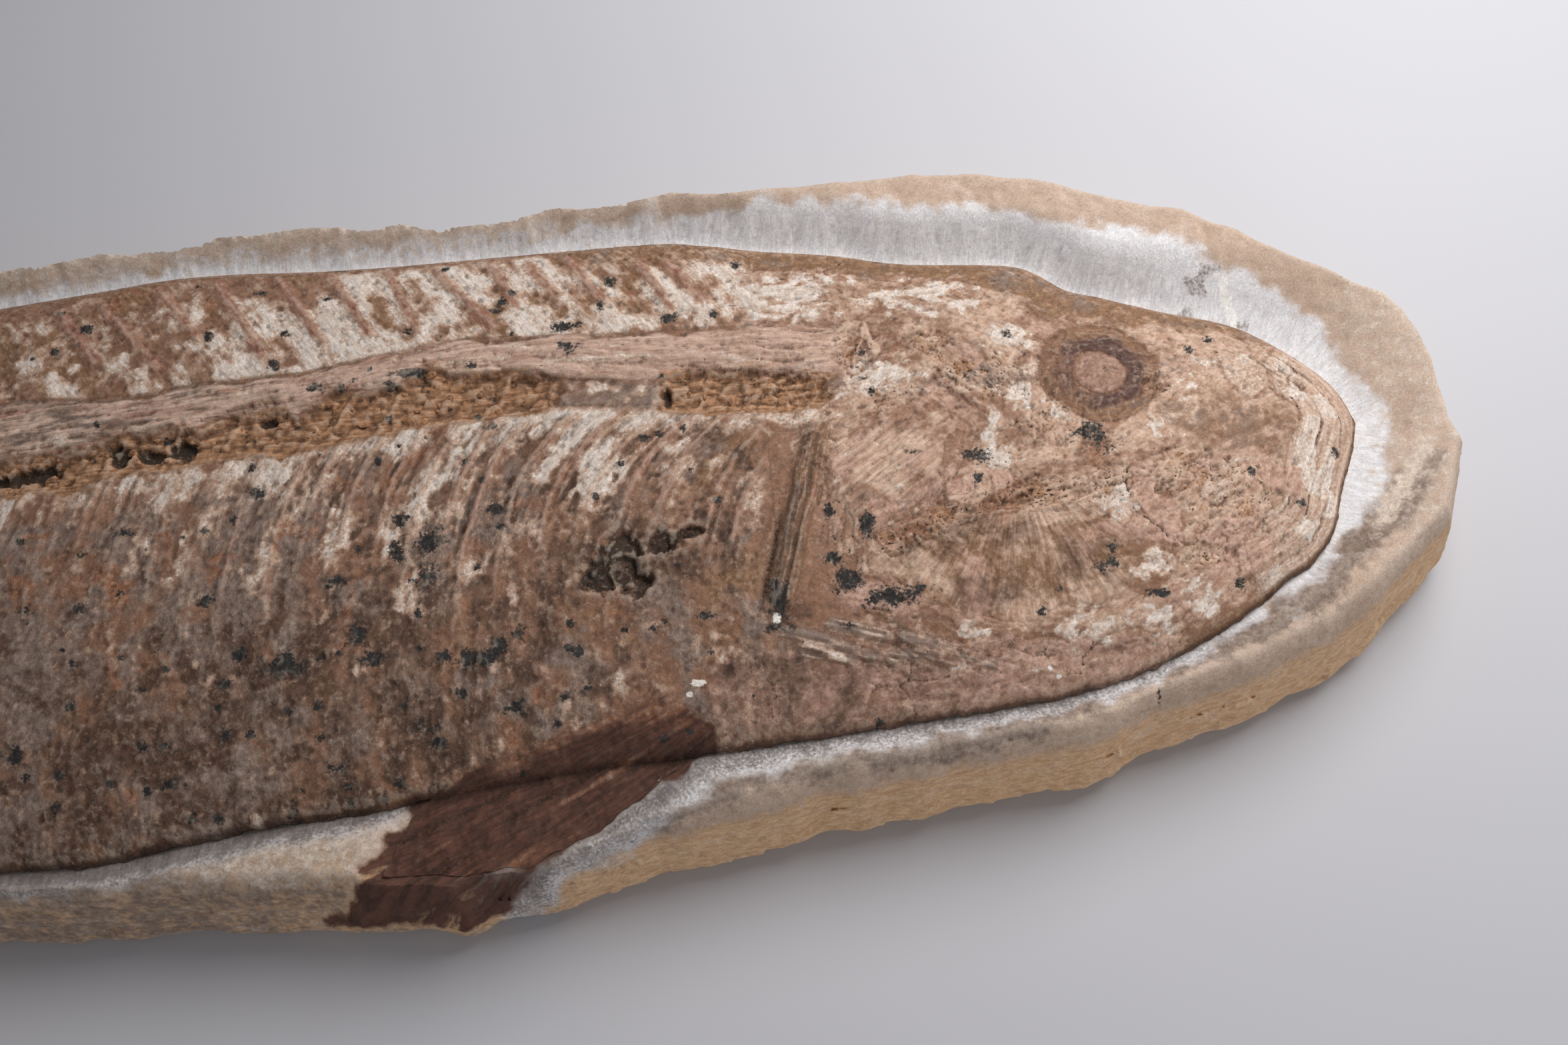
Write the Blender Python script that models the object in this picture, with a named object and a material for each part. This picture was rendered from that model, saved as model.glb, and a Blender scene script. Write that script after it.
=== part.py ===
"""A large fossil ray-finned fish lying on its side in a trimmed limestone slab.

The slab lies on its flat sawn back with the fish face up: +X points to the snout, +Y to the
fish's back and +Z out of its side. The origin is under the middle of the slab, on the surface
that it rests on. Outlines and reliefs are worked out in millimetres, as a preparator would
measure them, and the meshes are made in metres. Each solid is a relief over an outline: a
triangulated sheet whose height comes from a function of the place, closed by walls and a flat
back.
"""

import math

import bmesh
import bpy
import numpy as np
from mathutils import Vector, noise
from mathutils.geometry import delaunay_2d_cdt

MM = 0.001

# Heights over the resting surface, in mm
WIDEST_Z = 12.0
BACK_INSET = 5.0
BED_FLOOR_Z = 30.0
BED_GAP = 0.3
LIP_Z_BELLY, LIP_Z_BACK = 50.0, 46.0
CREST_Z_BELLY, CREST_Z_BACK = 56.0, 60.0
CREST_INSET_BELLY, CREST_INSET_BACK = 19.0, 10.0
GROOVE_BELLY, GROOVE_BACK, GROOVE_SNOUT = 11.0, 18.0, 30.0
TAIL_DROP = 7.0
FLANK_POWER = 1.8

# Facet sizes, in mm
RIM_SPACING = 13.5
LIP_RING = 7.0
FISH_SPACING = 8.0
STONE_HEX, HEAD_HEX = 15.0, 9.5
CLEARANCE = 4.2
CHIP_SIZE, CHIP_PITCH = 1.6, 17.0

# The slab's widest edge, from the snout end over the back and round
SLAB_EDGE = (
    (628, 4), (621, 18), (619, 36), (618, 54), (611, 68), (601, 79), (583, 89), (563, 103),
    (538, 120), (512, 130), (490, 139), (465, 149), (420, 157), (376, 157), (298, 158), (250, 156),
    (206, 153), (165, 156), (127, 158), (90, 156), (49, 154), (3, 151), (-60, 152), (-125, 154),
    (-185, 153), (-240, 146), (-300, 126),
    (-350, 107), (-405, 98), (-455, 106), (-510, 124), (-560, 137), (-600, 136), (-624, 112),
    (-627, 70), (-615, 14), (-627, -34), (-629, -74), (-617, -110), (-582, -124), (-530, -116),
    (-470, -98), (-410, -88), (-340, -101), (-270, -126), (-200, -148), (-130, -158), (-60, -153),
    (3, -143), (43, -146), (87, -144), (127, -148), (161, -151), (194, -154), (213, -152),
    (243, -145), (266, -139), (291, -137), (332, -130), (374, -125), (405, -121), (430, -118),
    (458, -113), (482, -104), (507, -99), (537, -90), (559, -79), (582, -64), (600, -48), (617, -33),
    (624, -10),
)

# The body without its fins: snout, over the back to the root of the tail, and back along the belly
BODY_EDGE = (
    (578, 17), (573, 34), (560, 49), (544, 62), (531, 69), (509, 76), (482, 86), (468, 91),
    (455, 101), (441, 106), (398, 111), (369, 118), (334, 124), (311, 129), (281, 132), (163, 132),
    (103, 135), (73, 135), (43, 132), (-1, 128), (-60, 122), (-130, 111), (-200, 94), (-280, 72),
    (-350, 54), (-400, 46), (-445, 45), (-448, 8), (-445, -30), (-400, -30), (-350, -39),
    (-280, -60), (-200, -86), (-130, -105), (-60, -116), (0, -120), (63, -121), (114, -114),
    (166, -110), (189, -107), (250, -101), (303, -99), (336, -97), (375, -94), (428, -90),
    (455, -86), (483, -78), (506, -68), (521, -60), (536, -50), (548, -43), (559, -31), (566, -14),
    (574, 3),
)

# Each fin: the front and rear ends of its base, its leading edge, its free edge and its number of rays
FINS = {
    "pectoral": (
        (303, -94), (288, -77), ((282, -107), (256, -124)),
        ((230, -136), (200, -137), (172, -135), (188, -108)), 8,
    ),
    "pelvic": ((-10, -113), (-32, -110), ((-40, -131),), ((-62, -137), (-48, -118)), 3),
    "anal": (
        (-98, -104), (-290, -52), ((-128, -134),),
        ((-155, -139), (-180, -118), (-225, -90), (-292, -64)), 12,
    ),
    "dorsal": ((-150, 104), (-222, 84), ((-190, 124),), ((-226, 130), (-226, 98)), 6),
    "upper_tail": ((-424, 42), (-440, 6), ((-500, 82),), ((-592, 112), (-556, 64), (-502, 6)), 8),
    "lower_tail": ((-424, -27), (-440, 10), ((-500, -66),), ((-588, -96), (-554, -46), (-502, 10)), 8),
}
RAY_HEIGHT, RAY_WIDTH = 1.8, 2.6
FIN_LIFT = 0.8

# The line of the backbone, from tail to head
BACKBONE = (
    (-450, 8), (-300, 14), (-150, 26), (-40, 34), (16, 37), (66, 41), (136, 47), (190, 54),
    (221, 56), (290, 50), (345, 46), (361, 45),
)
TROUGH_DEPTH, TROUGH_HALF = 6.0, 9.0
TROUGH_OPEN = ((-205, 246), (290, 361))
SPINE_BAND_OFFSET, SPINE_BAND_HALF, SPINE_BAND_HEIGHT = 21.0, 9.0, 2.6
CENTRUM_PITCH = 15.0

# The body's crown over its edge
CROWN_RADIUS = 95.0
CROWN_AT = ((-450, 9.0), (-300, 15.0), (-100, 21.0), (60, 23.0), (480, 23.0), (580, 20.0))

# Ribs below the backbone and neural spines above it
RIB_PITCH, RIB_HEIGHT, RIB_TOP, RIB_FADE = 17.0, 3.0, 13.0, 78.0
RIB_SWEEP_AT = ((-450, 30.0), (80, 18.0), (200, 30.0), (300, 46.0))
RIB_SWEEP_LENGTH = 26.0
SPINE_PITCH, SPINE_HEIGHT, SPINE_ROOT, SPINE_LEAN = 22.0, 2.4, 33.0, 0.62
TRUNK_ENDS = (-425, 322)
RIDGE_MARGIN = 7.0

# Head bones, in mm: the middle line of each ridge, its height and half its width
EYE = (472, 43)
EYE_BALL, EYE_RING, EYE_SOCKET = 12.0, 17.5, 24.0
EYE_HEIGHT, SOCKET_DEPTH = 2.2, 1.4
HEAD_RIDGES = (
    (((356, 30), (347, 4), (342, -18), (335, -42)), 4.0, 6.0),
    (((380, -22), (410, -13), (439, -12), (464, -7)), 2.4, 5.0),
    (((566, 0), (544, -28), (519, -56)), 2.6, 5.0),
    (((556, 44), (530, 56), (505, 66)), 2.0, 6.0),
    (((360, -58), (400, -64), (440, -66)), 1.8, 5.0),
    (((371, 60), (382, 74)), 2.6, 6.0),
)
HEAD_PLATES = (((392, 12), 34.0, 2.6), ((430, -45), 40.0, 2.2), ((520, 0), 30.0, 2.0))
HOLLOW, HOLLOW_SIZE, HOLLOW_DEPTH = (274, -22), (24.0, 13.0), 4.5


def spline(points, spacing, closed=True):
    """Points at an even spacing along a smooth curve through the given points."""
    control = np.array(points, float)
    count = len(control)
    fine = []
    for i in range(count if closed else count - 1):
        p0, p1, p2, p3 = (
            control[j % count] if closed else control[min(max(j, 0), count - 1)]
            for j in range(i - 1, i + 3)
        )
        for t in np.linspace(0, 1, 12, endpoint=False):
            fine.append(
                0.5 * (2 * p1 + (p2 - p0) * t + (2 * p0 - 5 * p1 + 4 * p2 - p3) * t**2
                       + (3 * p1 - p0 - 3 * p2 + p3) * t**3)
            )
    fine.append(control[0] if closed else control[-1])
    return evenly(np.array(fine), spacing, closed)


def evenly(path, spacing, closed=False):
    """The same path with points a given distance apart."""
    steps = np.linalg.norm(np.diff(path, axis=0), axis=1)
    along = np.concatenate([[0], np.cumsum(steps)])
    parts = max(1, round(along[-1] / spacing))
    at = np.linspace(0, along[-1], parts + 1)
    if closed:
        at = at[:-1]
    return np.column_stack([np.interp(at, along, path[:, axis]) for axis in (0, 1)])


def segments(path, closed):
    ends = np.roll(path, -1, axis=0) if closed else path[1:]
    return path[: len(ends)], ends


def distance(places, path, closed=True):
    """How far each place is from a path."""
    best = np.full(len(places), np.inf)
    for start, end in zip(*segments(np.asarray(path, float), closed)):
        run = end - start
        share = np.clip(((places - start) @ run) / max(run @ run, 1e-9), 0, 1)
        best = np.minimum(best, np.hypot(*(places - start - share[:, None] * run).T))
    return best


def inside(places, loop):
    """Which places are inside a closed outline."""
    hit = np.zeros(len(places), bool)
    for (x0, y0), (x1, y1) in zip(*segments(loop, True)):
        crosses = (y0 > places[:, 1]) != (y1 > places[:, 1])
        if crosses.any():
            reach = (x1 - x0) * (places[:, 1] - y0) / (y1 - y0 + (y1 == y0)) + x0
            hit ^= crosses & (places[:, 0] < reach)
    return hit


def ease(value, low, high):
    """0 below low, 1 above high, and a smooth step between them."""
    t = np.clip((value - low) / (high - low), 0, 1)
    return t * t * (3 - 2 * t)


def across(table, x):
    return np.interp(x, *np.array(table, float).T)


def hexagonal(low, high, pitch):
    """Places of a hexagonal pattern over a box."""
    rows = []
    for row, y in enumerate(np.arange(low[1], high[1], pitch * math.sqrt(0.75))):
        xs = np.arange(low[0] + pitch / 2 * (row % 2), high[0], pitch)
        rows.append(np.column_stack([xs, np.full(len(xs), y)]))
    return np.concatenate(rows)


def chipped(loop, size, pitch):
    """A loop moved in and out along its normals, as an edge left by hammer and chisel is."""
    run = np.roll(loop, -1, axis=0) - np.roll(loop, 1, axis=0)
    outward = np.column_stack([run[:, 1], -run[:, 0]]) / np.linalg.norm(run, axis=1)[:, None]
    shift = [size * noise.noise(Vector((x / pitch, y / pitch, 0))) * 2 for x, y in loop]
    return loop + outward * np.array(shift)[:, None]


SLAB = chipped(spline(SLAB_EDGE, RIM_SPACING), CHIP_SIZE, CHIP_PITCH)
SLAB += -(SLAB.max(axis=0) + SLAB.min(axis=0)) / 2
BODY = spline(BODY_EDGE, FISH_SPACING)
FIN_LOOPS = {
    name: evenly(np.array([front, *leading, *free, rear, front], float), FISH_SPACING, closed=True)
    for name, (front, rear, leading, free, _) in FINS.items()
}


def fin_rays(name, furrows=False):
    """The rays of a fin, or the furrows between them, each from its base to its free edge."""
    front, rear, _, edge, count = FINS[name]
    free = evenly(np.array(edge, float), 1.0)
    rays = []
    for share in (np.arange(1, count) if furrows else np.arange(count) + 0.5) / count:
        foot = np.array(front) * (1 - share) + np.array(rear) * share
        tip = free[int(share * (len(free) - 1))]
        rays.append(evenly(np.array([foot, foot + (tip - foot) * 0.93]), FISH_SPACING))
    return rays


def belly_side(y):
    """1 along the belly, 0 along the back."""
    return 1 - ease(y, -60, 60)


def between(belly, back, y):
    side = belly_side(y)
    return belly * side + back * (1 - side)


def tail_drop(x):
    return TAIL_DROP * ease(-x, 80, 420)


def lip_height(places):
    x, y = places.T
    return between(LIP_Z_BELLY, LIP_Z_BACK, y) - tail_drop(x)


def stone_height(places, fish_loop):
    """The face of the slab round the fish: a prepared groove, a crest and a rough flank."""
    x, y = places.T
    from_fish = distance(places, fish_loop)
    from_edge = distance(places, SLAB)
    crest = between(CREST_Z_BELLY, CREST_Z_BACK, y) - tail_drop(x)
    groove = between(GROOVE_BELLY, GROOVE_BACK, y) + GROOVE_SNOUT * ease(x, 480, 600) * (y > -40)
    lip = lip_height(places)
    rim = lip + (crest - lip) * ease(from_fish, 0, groove)
    inset = between(CREST_INSET_BELLY, CREST_INSET_BACK, y)
    steep = 1 - (1 - np.clip(from_edge / inset, 0, 1)) ** FLANK_POWER
    return np.minimum(WIDEST_Z + (crest - WIDEST_Z) * steep, rim)


def rib_sweep(root, below):
    """How far tailwards a rib has swept from its root on the backbone."""
    return across(RIB_SWEEP_AT, root) * (1 - np.exp(-below / RIB_SWEEP_LENGTH))


def rib_root(x, below):
    """Where the rib that passes a place starts on the backbone."""
    root = x
    for _ in range(4):
        root = x + rib_sweep(root, below)
    return root


def crests(phase):
    """A row of rounded ridges, one for each whole number of the phase."""
    return (0.5 + 0.5 * np.cos(2 * math.pi * phase)) ** 2


def trunk_ribs(places):
    x, y = places.T
    over = y - across(BACKBONE, x)
    rear, front = TRUNK_ENDS
    trunk = ease(x, rear, rear + 25) * (1 - ease(x, front - 12, front + 8))
    below = np.maximum(-over, 0)
    rooted = ease(below, RIB_TOP - 4, RIB_TOP + 4)
    faded = 1 - 0.75 * ease(below, RIB_FADE - 20, RIB_FADE + 15)
    ribs = RIB_HEIGHT * crests(rib_root(x, below) / RIB_PITCH) * rooted * faded
    spines = SPINE_HEIGHT * crests((x + SPINE_LEAN * (over - SPINE_ROOT)) / SPINE_PITCH)
    spines *= ease(over, SPINE_ROOT - 5, SPINE_ROOT + 4)
    return (ribs + spines) * trunk


def backbone(places):
    """The open trough where the vertebrae were, the fibrous band over it and the tail's vertebrae."""
    x, y = places.T
    over = y - across(BACKBONE, x)
    opened = 0
    for low, high in TROUGH_OPEN:
        opened = opened + ease(x, low - 8, low + 8) * (1 - ease(x, high - 6, high + 6))
    trough = -TROUGH_DEPTH * opened / (1 + np.abs(over / TROUGH_HALF) ** 6)
    tail = (1 - ease(x, -240, -205)) * ease(x, -452, -430)
    beads = tail * (2.2 + crests(x / CENTRUM_PITCH)) * np.exp(-((over / 8) ** 2))
    band = SPINE_BAND_HEIGHT * np.exp(-(((over - SPINE_BAND_OFFSET) / SPINE_BAND_HALF) ** 2))
    return trough + beads + band * ease(x, -260, -120) * (1 - ease(x, 350, 375))


def head_bones(places):
    height = np.zeros(len(places))
    for line, high, half in HEAD_RIDGES:
        height += high * np.exp(-((distance(places, line, closed=False) / half) ** 2))
    for middle, radius, high in HEAD_PLATES:
        away = np.hypot(*(places - middle).T) / radius
        height += high * (1 - ease(away, 0.55, 1.0))
    out = np.hypot(*(places - EYE).T)
    height += EYE_HEIGHT * np.exp(-(((out - EYE_RING) / 4) ** 2))
    height -= SOCKET_DEPTH * np.exp(-(((out - EYE_SOCKET) / 4) ** 2))
    height += 1 - ease(out, 0, EYE_BALL)
    away = np.hypot(*((places - HOLLOW) / HOLLOW_SIZE).T)
    return height - HOLLOW_DEPTH * (1 - ease(away, 0.6, 1.1))


def fish_height(places):
    """The fish's whole relief."""
    x, y = places.T
    in_body = inside(places, BODY)
    depth = distance(places, BODY) * in_body
    dome = np.sqrt(1 - (1 - np.clip(depth / CROWN_RADIUS, 0, 1)) ** 2)
    covered = ease(depth, 2, 9)
    height = lip_height(places) + FIN_LIFT + across(CROWN_AT, x) * dome
    height += covered * (trunk_ribs(places) + backbone(places) + head_bones(places))
    for name, loop in FIN_LOOPS.items():
        on_fin = inside(places, loop) & (depth < 9)
        nearest = np.min([distance(places, ray, closed=False) for ray in fin_rays(name)], axis=0)
        height += RAY_HEIGHT * np.exp(-((nearest / RAY_WIDTH) ** 2)) * on_fin
    return height


def rib_lines():
    """Lines down each rib and each furrow between two ribs, and the same up each neural spine."""
    lines = []
    low, high = TRUNK_ENDS
    for half in range(math.ceil(2 * low / RIB_PITCH), math.floor(2 * (high + 30) / RIB_PITCH)):
        root = half * RIB_PITCH / 2
        below = np.arange(RIB_TOP + 3, RIB_FADE + 12 if half % 2 else 175, 13.0)
        x = root - rib_sweep(root, below)
        lines.append(np.column_stack([x, across(BACKBONE, x) - below]))
    for half in range(math.ceil(2 * low / SPINE_PITCH), math.floor(2 * (high + 10) / SPINE_PITCH)):
        root = half * SPINE_PITCH / 2
        over = np.arange(SPINE_ROOT, 110, 13)
        x = root - SPINE_LEAN * (over - SPINE_ROOT)
        lines.append(np.column_stack([x, across(BACKBONE, x) + over]))
    return [line[(line[:, 0] > low - 20)] for line in lines]


def backbone_lines():
    lines = []
    for offset in (-12, -4.5, 4.5, 12, 21):
        x = np.arange(-436, 362, 12.0 if offset < 20 else 16.0)
        lines.append(np.column_stack([x, across(BACKBONE, x) + offset]))
    return lines


def head_lines():
    lines = []
    for radius, count in ((6.0, 6), (EYE_BALL, 12), (EYE_RING, 16), (EYE_SOCKET, 18)):
        turn = np.linspace(0, 2 * math.pi, count + 1)
        lines.append(np.column_stack([np.cos(turn), np.sin(turn)]) * radius + EYE)
    lines += [spline(line, 8.0, closed=False) for line, _, _ in HEAD_RIDGES]
    return lines


def triangulate(lines, loose):
    """A Delaunay triangulation in which the lines stay edges and the loose places fill the rest."""
    places, edges = [], []
    for line, closed in lines:
        first = len(places)
        places.extend(Vector(p) for p in line)
        last = len(places)
        edges.extend((i, i + 1) for i in range(first, last - 1))
        if closed:
            edges.append((last - 1, first))
    places.extend(Vector(p) for p in loose)
    found = delaunay_2d_cdt(places, edges, [], 0, 1e-3, False)
    return np.array([tuple(v) for v in found[0]]), np.array([tuple(f) for f in found[2]])


def far_from(candidates, taken, pitch):
    """The candidates that keep a distance from all the places already taken."""
    keep = np.ones(len(candidates), bool)
    for block in np.array_split(np.arange(len(candidates)), max(1, len(candidates) // 500)):
        gaps = np.hypot(*(candidates[block, None, :] - taken[None, :, :]).transpose(2, 0, 1))
        keep[block] = gaps.min(axis=1) > pitch
    return candidates[keep]


def nearest_of(places, wanted):
    """The number of the place nearest to each wanted one."""
    return [int(np.hypot(*(places - place).T).argmin()) for place in wanted]


def used_only(places, faces):
    used, index = np.unique(faces, return_inverse=True)
    return places[used], index.reshape(-1, 3)


def border(faces):
    """The one closed border of a sheet of triangles, in order, with the sheet on its left."""
    halves = {(a, b) for face in faces.tolist() for a, b in zip(face, face[1:] + face[:1])}
    following = {a: b for a, b in halves if (b, a) not in halves}
    loop = [next(iter(following))]
    while following[loop[-1]] != loop[0]:
        loop.append(following[loop[-1]])
    return loop


def well_inside(line):
    return line[inside(line, BODY) & (distance(line, BODY) > RIDGE_MARGIN)]


def fish_sheet():
    """Places and triangles of the fish's face, seen from above."""
    lines = [(BODY, True)] + [(loop, True) for loop in FIN_LOOPS.values()]
    laid = [well_inside(line) for line in backbone_lines() + head_lines()]
    taken = np.concatenate(laid)
    for line in rib_lines():
        line = far_from(well_inside(line), taken, CLEARANCE)
        line = line[line[:, 0] < TRUNK_ENDS[1] + 8]
        if len(line):
            laid.append(line)
    for name in FINS:
        for ray in fin_rays(name) + fin_rays(name, furrows=True):
            on_fin = inside(ray, FIN_LOOPS[name]) & (distance(ray, FIN_LOOPS[name]) > CLEARANCE)
            laid.append(ray[on_fin & ~inside(ray, BODY)])
    laid = [line for line in laid if len(line)]
    lines += [(line, False) for line in laid]
    head = hexagonal((TRUNK_ENDS[1] - 20, -110), (590, 120), HEAD_HEX)
    head = head[inside(head, BODY) & (distance(head, BODY) > CLEARANCE)]
    taken = np.concatenate([*laid, *FIN_LOOPS.values()])
    head = far_from(head, taken, CLEARANCE)
    places, faces = triangulate(lines, head)
    middles = places[faces].mean(axis=1)
    kept = np.any([inside(middles, loop) for loop in (BODY, *FIN_LOOPS.values())], axis=0)
    return used_only(places, faces[kept])


def widened(loop, gap):
    """A loop moved outwards by a gap, one for all or one for each corner, with its corners kept."""
    before, after = loop - np.roll(loop, 1, axis=0), np.roll(loop, -1, axis=0) - loop
    before = before / np.linalg.norm(before, axis=1)[:, None]
    after = after / np.linalg.norm(after, axis=1)[:, None]
    normals = [np.column_stack([run[:, 1], -run[:, 0]]) for run in (before, after)]
    corner = normals[0] + normals[1]
    reach = np.maximum((corner * normals[0]).sum(axis=1), 0.35)
    return loop + corner / reach[:, None] * np.broadcast_to(gap, len(loop))[:, None]


def stone_sheet(bed_loop):
    """Places and triangles of the slab's face round the bed."""
    rings = []
    for share in (0.45, 1.0):
        ring = widened(SLAB, -share * between(CREST_INSET_BELLY, CREST_INSET_BACK, SLAB[:, 1]))
        rings.append(ring[~inside(ring, bed_loop) & (distance(ring, bed_loop) > CLEARANCE)])
    lip = widened(bed_loop, LIP_RING)
    room = between(CREST_INSET_BELLY + 5, CREST_INSET_BACK + 9, lip[:, 1])
    lip = lip[(distance(lip, bed_loop) > 0.8 * LIP_RING) & (distance(lip, SLAB) > room)]
    lip = far_from(lip, np.concatenate(rings + [SLAB]), CLEARANCE)
    fill = hexagonal(SLAB.min(axis=0), SLAB.max(axis=0), STONE_HEX)
    fill = fill[inside(fill, SLAB) & ~inside(fill, bed_loop)]
    fill = far_from(fill, np.concatenate([SLAB, bed_loop, lip, *rings]), STONE_HEX * 0.7)
    places, faces = triangulate([(SLAB, True), (bed_loop, True)], np.concatenate([lip, *rings, fill]))
    middles = places[faces].mean(axis=1)
    kept = inside(middles, SLAB) & ~inside(middles, bed_loop)
    return used_only(places, faces[kept])


def wall(mesh, upper, lower):
    """Joins two rings of vertices that run the same way."""
    count = len(upper)
    for i in range(count):
        j = (i + 1) % count
        mesh.faces.new((upper[j], upper[i], lower[i], lower[j]))


def ring(mesh, loop, height):
    return [mesh.verts.new((x * MM, y * MM, height * MM)) for x, y in loop]


def finish(mesh, name, material, collection):
    bmesh.ops.recalc_face_normals(mesh, faces=mesh.faces)
    data = bpy.data.meshes.new(name)
    mesh.to_mesh(data)
    mesh.free()
    if sum(polygon.area * polygon.normal.z * polygon.center.z for polygon in data.polygons) < 0:
        data.flip_normals()
    data.materials.append(material)
    data.shade_smooth()
    data.set_sharp_from_angle(angle=math.radians(35))
    part = bpy.data.objects.new(name, data)
    collection.objects.link(part)
    return part


def relief(places, faces, heights):
    mesh = bmesh.new()
    verts = [mesh.verts.new((x * MM, y * MM, z * MM)) for (x, y), z in zip(places, heights)]
    for face in faces.tolist():
        mesh.faces.new([verts[i] for i in face])
    return mesh, verts


def make_fish(places, faces, loop, material, collection):
    mesh, verts = relief(places, faces, fish_height(places))
    foot = ring(mesh, places[loop], BED_FLOOR_Z + BED_GAP)
    wall(mesh, [verts[i] for i in loop], foot)
    mesh.faces.new(foot)
    return finish(mesh, "fossil_fish", material, collection)


def make_stone(bed_loop, material, collection):
    places, faces = stone_sheet(bed_loop)
    from_edge = distance(places, SLAB)
    rough = [noise.noise(Vector((x / CHIP_PITCH, y / CHIP_PITCH, 3))) for x, y in places]
    heights = stone_height(places, bed_loop)
    heights += CHIP_SIZE * np.array(rough) * (from_edge > 1) * (distance(places, bed_loop) > 9)
    mesh, verts = relief(places, faces, heights)
    back = ring(mesh, widened(SLAB, -BACK_INSET), 0.0)
    wall(mesh, [verts[i] for i in nearest_of(places, SLAB)], back)
    mesh.faces.new(back)
    floor = ring(mesh, bed_loop, BED_FLOOR_Z)
    wall(mesh, [verts[i] for i in nearest_of(places, bed_loop)], floor)
    mesh.faces.new(floor)
    return finish(mesh, "stone_matrix", material, collection)


def linear(value):
    """One sRGB hex colour as linear light."""
    parts = [int(value[i : i + 2], 16) / 255 for i in (1, 3, 5)]
    return [c / 12.92 if c <= 0.04045 else ((c + 0.055) / 1.055) ** 2.4 for c in parts]


def principled(name, colour, roughness):
    material = bpy.data.materials.new(name)
    material.use_nodes = True
    shader = material.node_tree.nodes["Principled BSDF"]
    shader.inputs["Base Color"].default_value = (*linear(colour), 1)
    shader.inputs["Roughness"].default_value = roughness
    shader.inputs["Metallic"].default_value = 0.0
    return material


def main():
    for old in list(bpy.data.objects):
        bpy.data.objects.remove(old, do_unlink=True)
    collection = bpy.data.collections.new("cladocyclus_fossil_fish")
    bpy.context.scene.collection.children.link(collection)
    limestone = principled("pale limestone", "#C9B297", 0.9)
    bone = principled("fossil bone", "#A3836E", 0.75)
    places, faces = fish_sheet()
    loop = border(faces)
    make_fish(places, faces, loop, bone, collection)
    make_stone(widened(places[loop], BED_GAP), limestone, collection)


main()
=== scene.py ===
# %% [markdown]
# # A fossil fish in its limestone slab
#
# This lesson dresses the CAD model of a large fossil fish. The real thing is a block of pale
# limestone that was split, glued and cut back with air-driven needles until one side of the fish
# stood free. Nearly everything that the eye reads on it is relief of one to five millimetres and
# stain: ribs, cracked bone, chalky mineral, black spots and tool marks. So the lesson builds
# dense reliefs from a few given outlines and random hills, writes where each stain lies as
# numbers on the points of the mesh, and lets node materials turn those numbers into colour.
# Lengths are in millimetres until a mesh is made: +X is the snout, +Y the fish's back.

# %% Load the model that this scene dresses
import math

import bpy
import numpy as np
from mathutils import Matrix, Vector, noise
from mathutils.geometry import delaunay_2d_cdt


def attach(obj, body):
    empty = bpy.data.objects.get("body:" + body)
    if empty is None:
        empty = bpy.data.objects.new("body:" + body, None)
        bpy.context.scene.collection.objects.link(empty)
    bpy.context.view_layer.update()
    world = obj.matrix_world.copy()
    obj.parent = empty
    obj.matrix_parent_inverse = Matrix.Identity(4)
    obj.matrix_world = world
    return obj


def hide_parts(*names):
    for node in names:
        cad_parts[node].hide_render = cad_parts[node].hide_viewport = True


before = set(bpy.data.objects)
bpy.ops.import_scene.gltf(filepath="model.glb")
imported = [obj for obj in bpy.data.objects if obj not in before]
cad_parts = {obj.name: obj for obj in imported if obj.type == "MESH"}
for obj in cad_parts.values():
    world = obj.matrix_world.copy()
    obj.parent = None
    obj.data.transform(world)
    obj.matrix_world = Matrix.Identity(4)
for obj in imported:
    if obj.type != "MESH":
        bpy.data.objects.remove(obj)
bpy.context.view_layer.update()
MM = 0.001
COARSER = 1.0

# %% [markdown]
# ## The camera
#
# The photograph looks down on the fish from about 60 cm, a little from the belly side and with
# the picture rolled by five degrees. A matrix built from the three axes of the view is easier to
# reason about than Euler angles: right, up, and the direction opposite to the gaze.

# %% Place the camera
FOCAL_MM, SENSOR_MM = 34.0, 36.0
CAMERA_DISTANCE = 0.600
CAMERA_TARGET = Vector((0.337, -0.009, 0.060))
TILT, ROLL = math.radians(20), math.radians(5)

gaze = Vector((0, math.sin(TILT), -math.cos(TILT)))
level, upright = Vector((1, 0, 0)), Vector((0, math.cos(TILT), math.sin(TILT)))
right = math.cos(ROLL) * level - math.sin(ROLL) * upright
up = math.sin(ROLL) * level + math.cos(ROLL) * upright
camera_data = bpy.data.cameras.new("camera")
camera_data.lens = FOCAL_MM
camera_data.sensor_width = SENSOR_MM
camera = bpy.data.objects.new("camera", camera_data)
bpy.context.scene.collection.objects.link(camera)
view_axes = Matrix((right, up, -gaze)).transposed().to_4x4()
camera.matrix_world = Matrix.Translation(CAMERA_TARGET - CAMERA_DISTANCE * gaze) @ view_axes
bpy.context.scene.camera = camera
print("camera at", tuple(round(v, 3) for v in camera.matrix_world.translation))

# %% [markdown]
# ## Curves and distances
#
# All shapes start as short lists of points. A spline smooths them, and two questions answer
# nearly everything afterwards: how far is a place from a line, and is it inside an outline?
# Numpy asks them for a hundred thousand places at once, one stretch of the line at a time.


# %% Curves, distances and soft steps
def evenly(path, spacing, closed=False):
    """The same path with points a given distance apart."""
    along = np.concatenate([[0], np.cumsum(np.linalg.norm(np.diff(path, axis=0), axis=1))])
    at = np.linspace(0, along[-1], max(1, round(along[-1] / spacing)) + 1)
    if closed:
        at = at[:-1]
    return np.column_stack([np.interp(at, along, path[:, axis]) for axis in (0, 1)])


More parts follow.
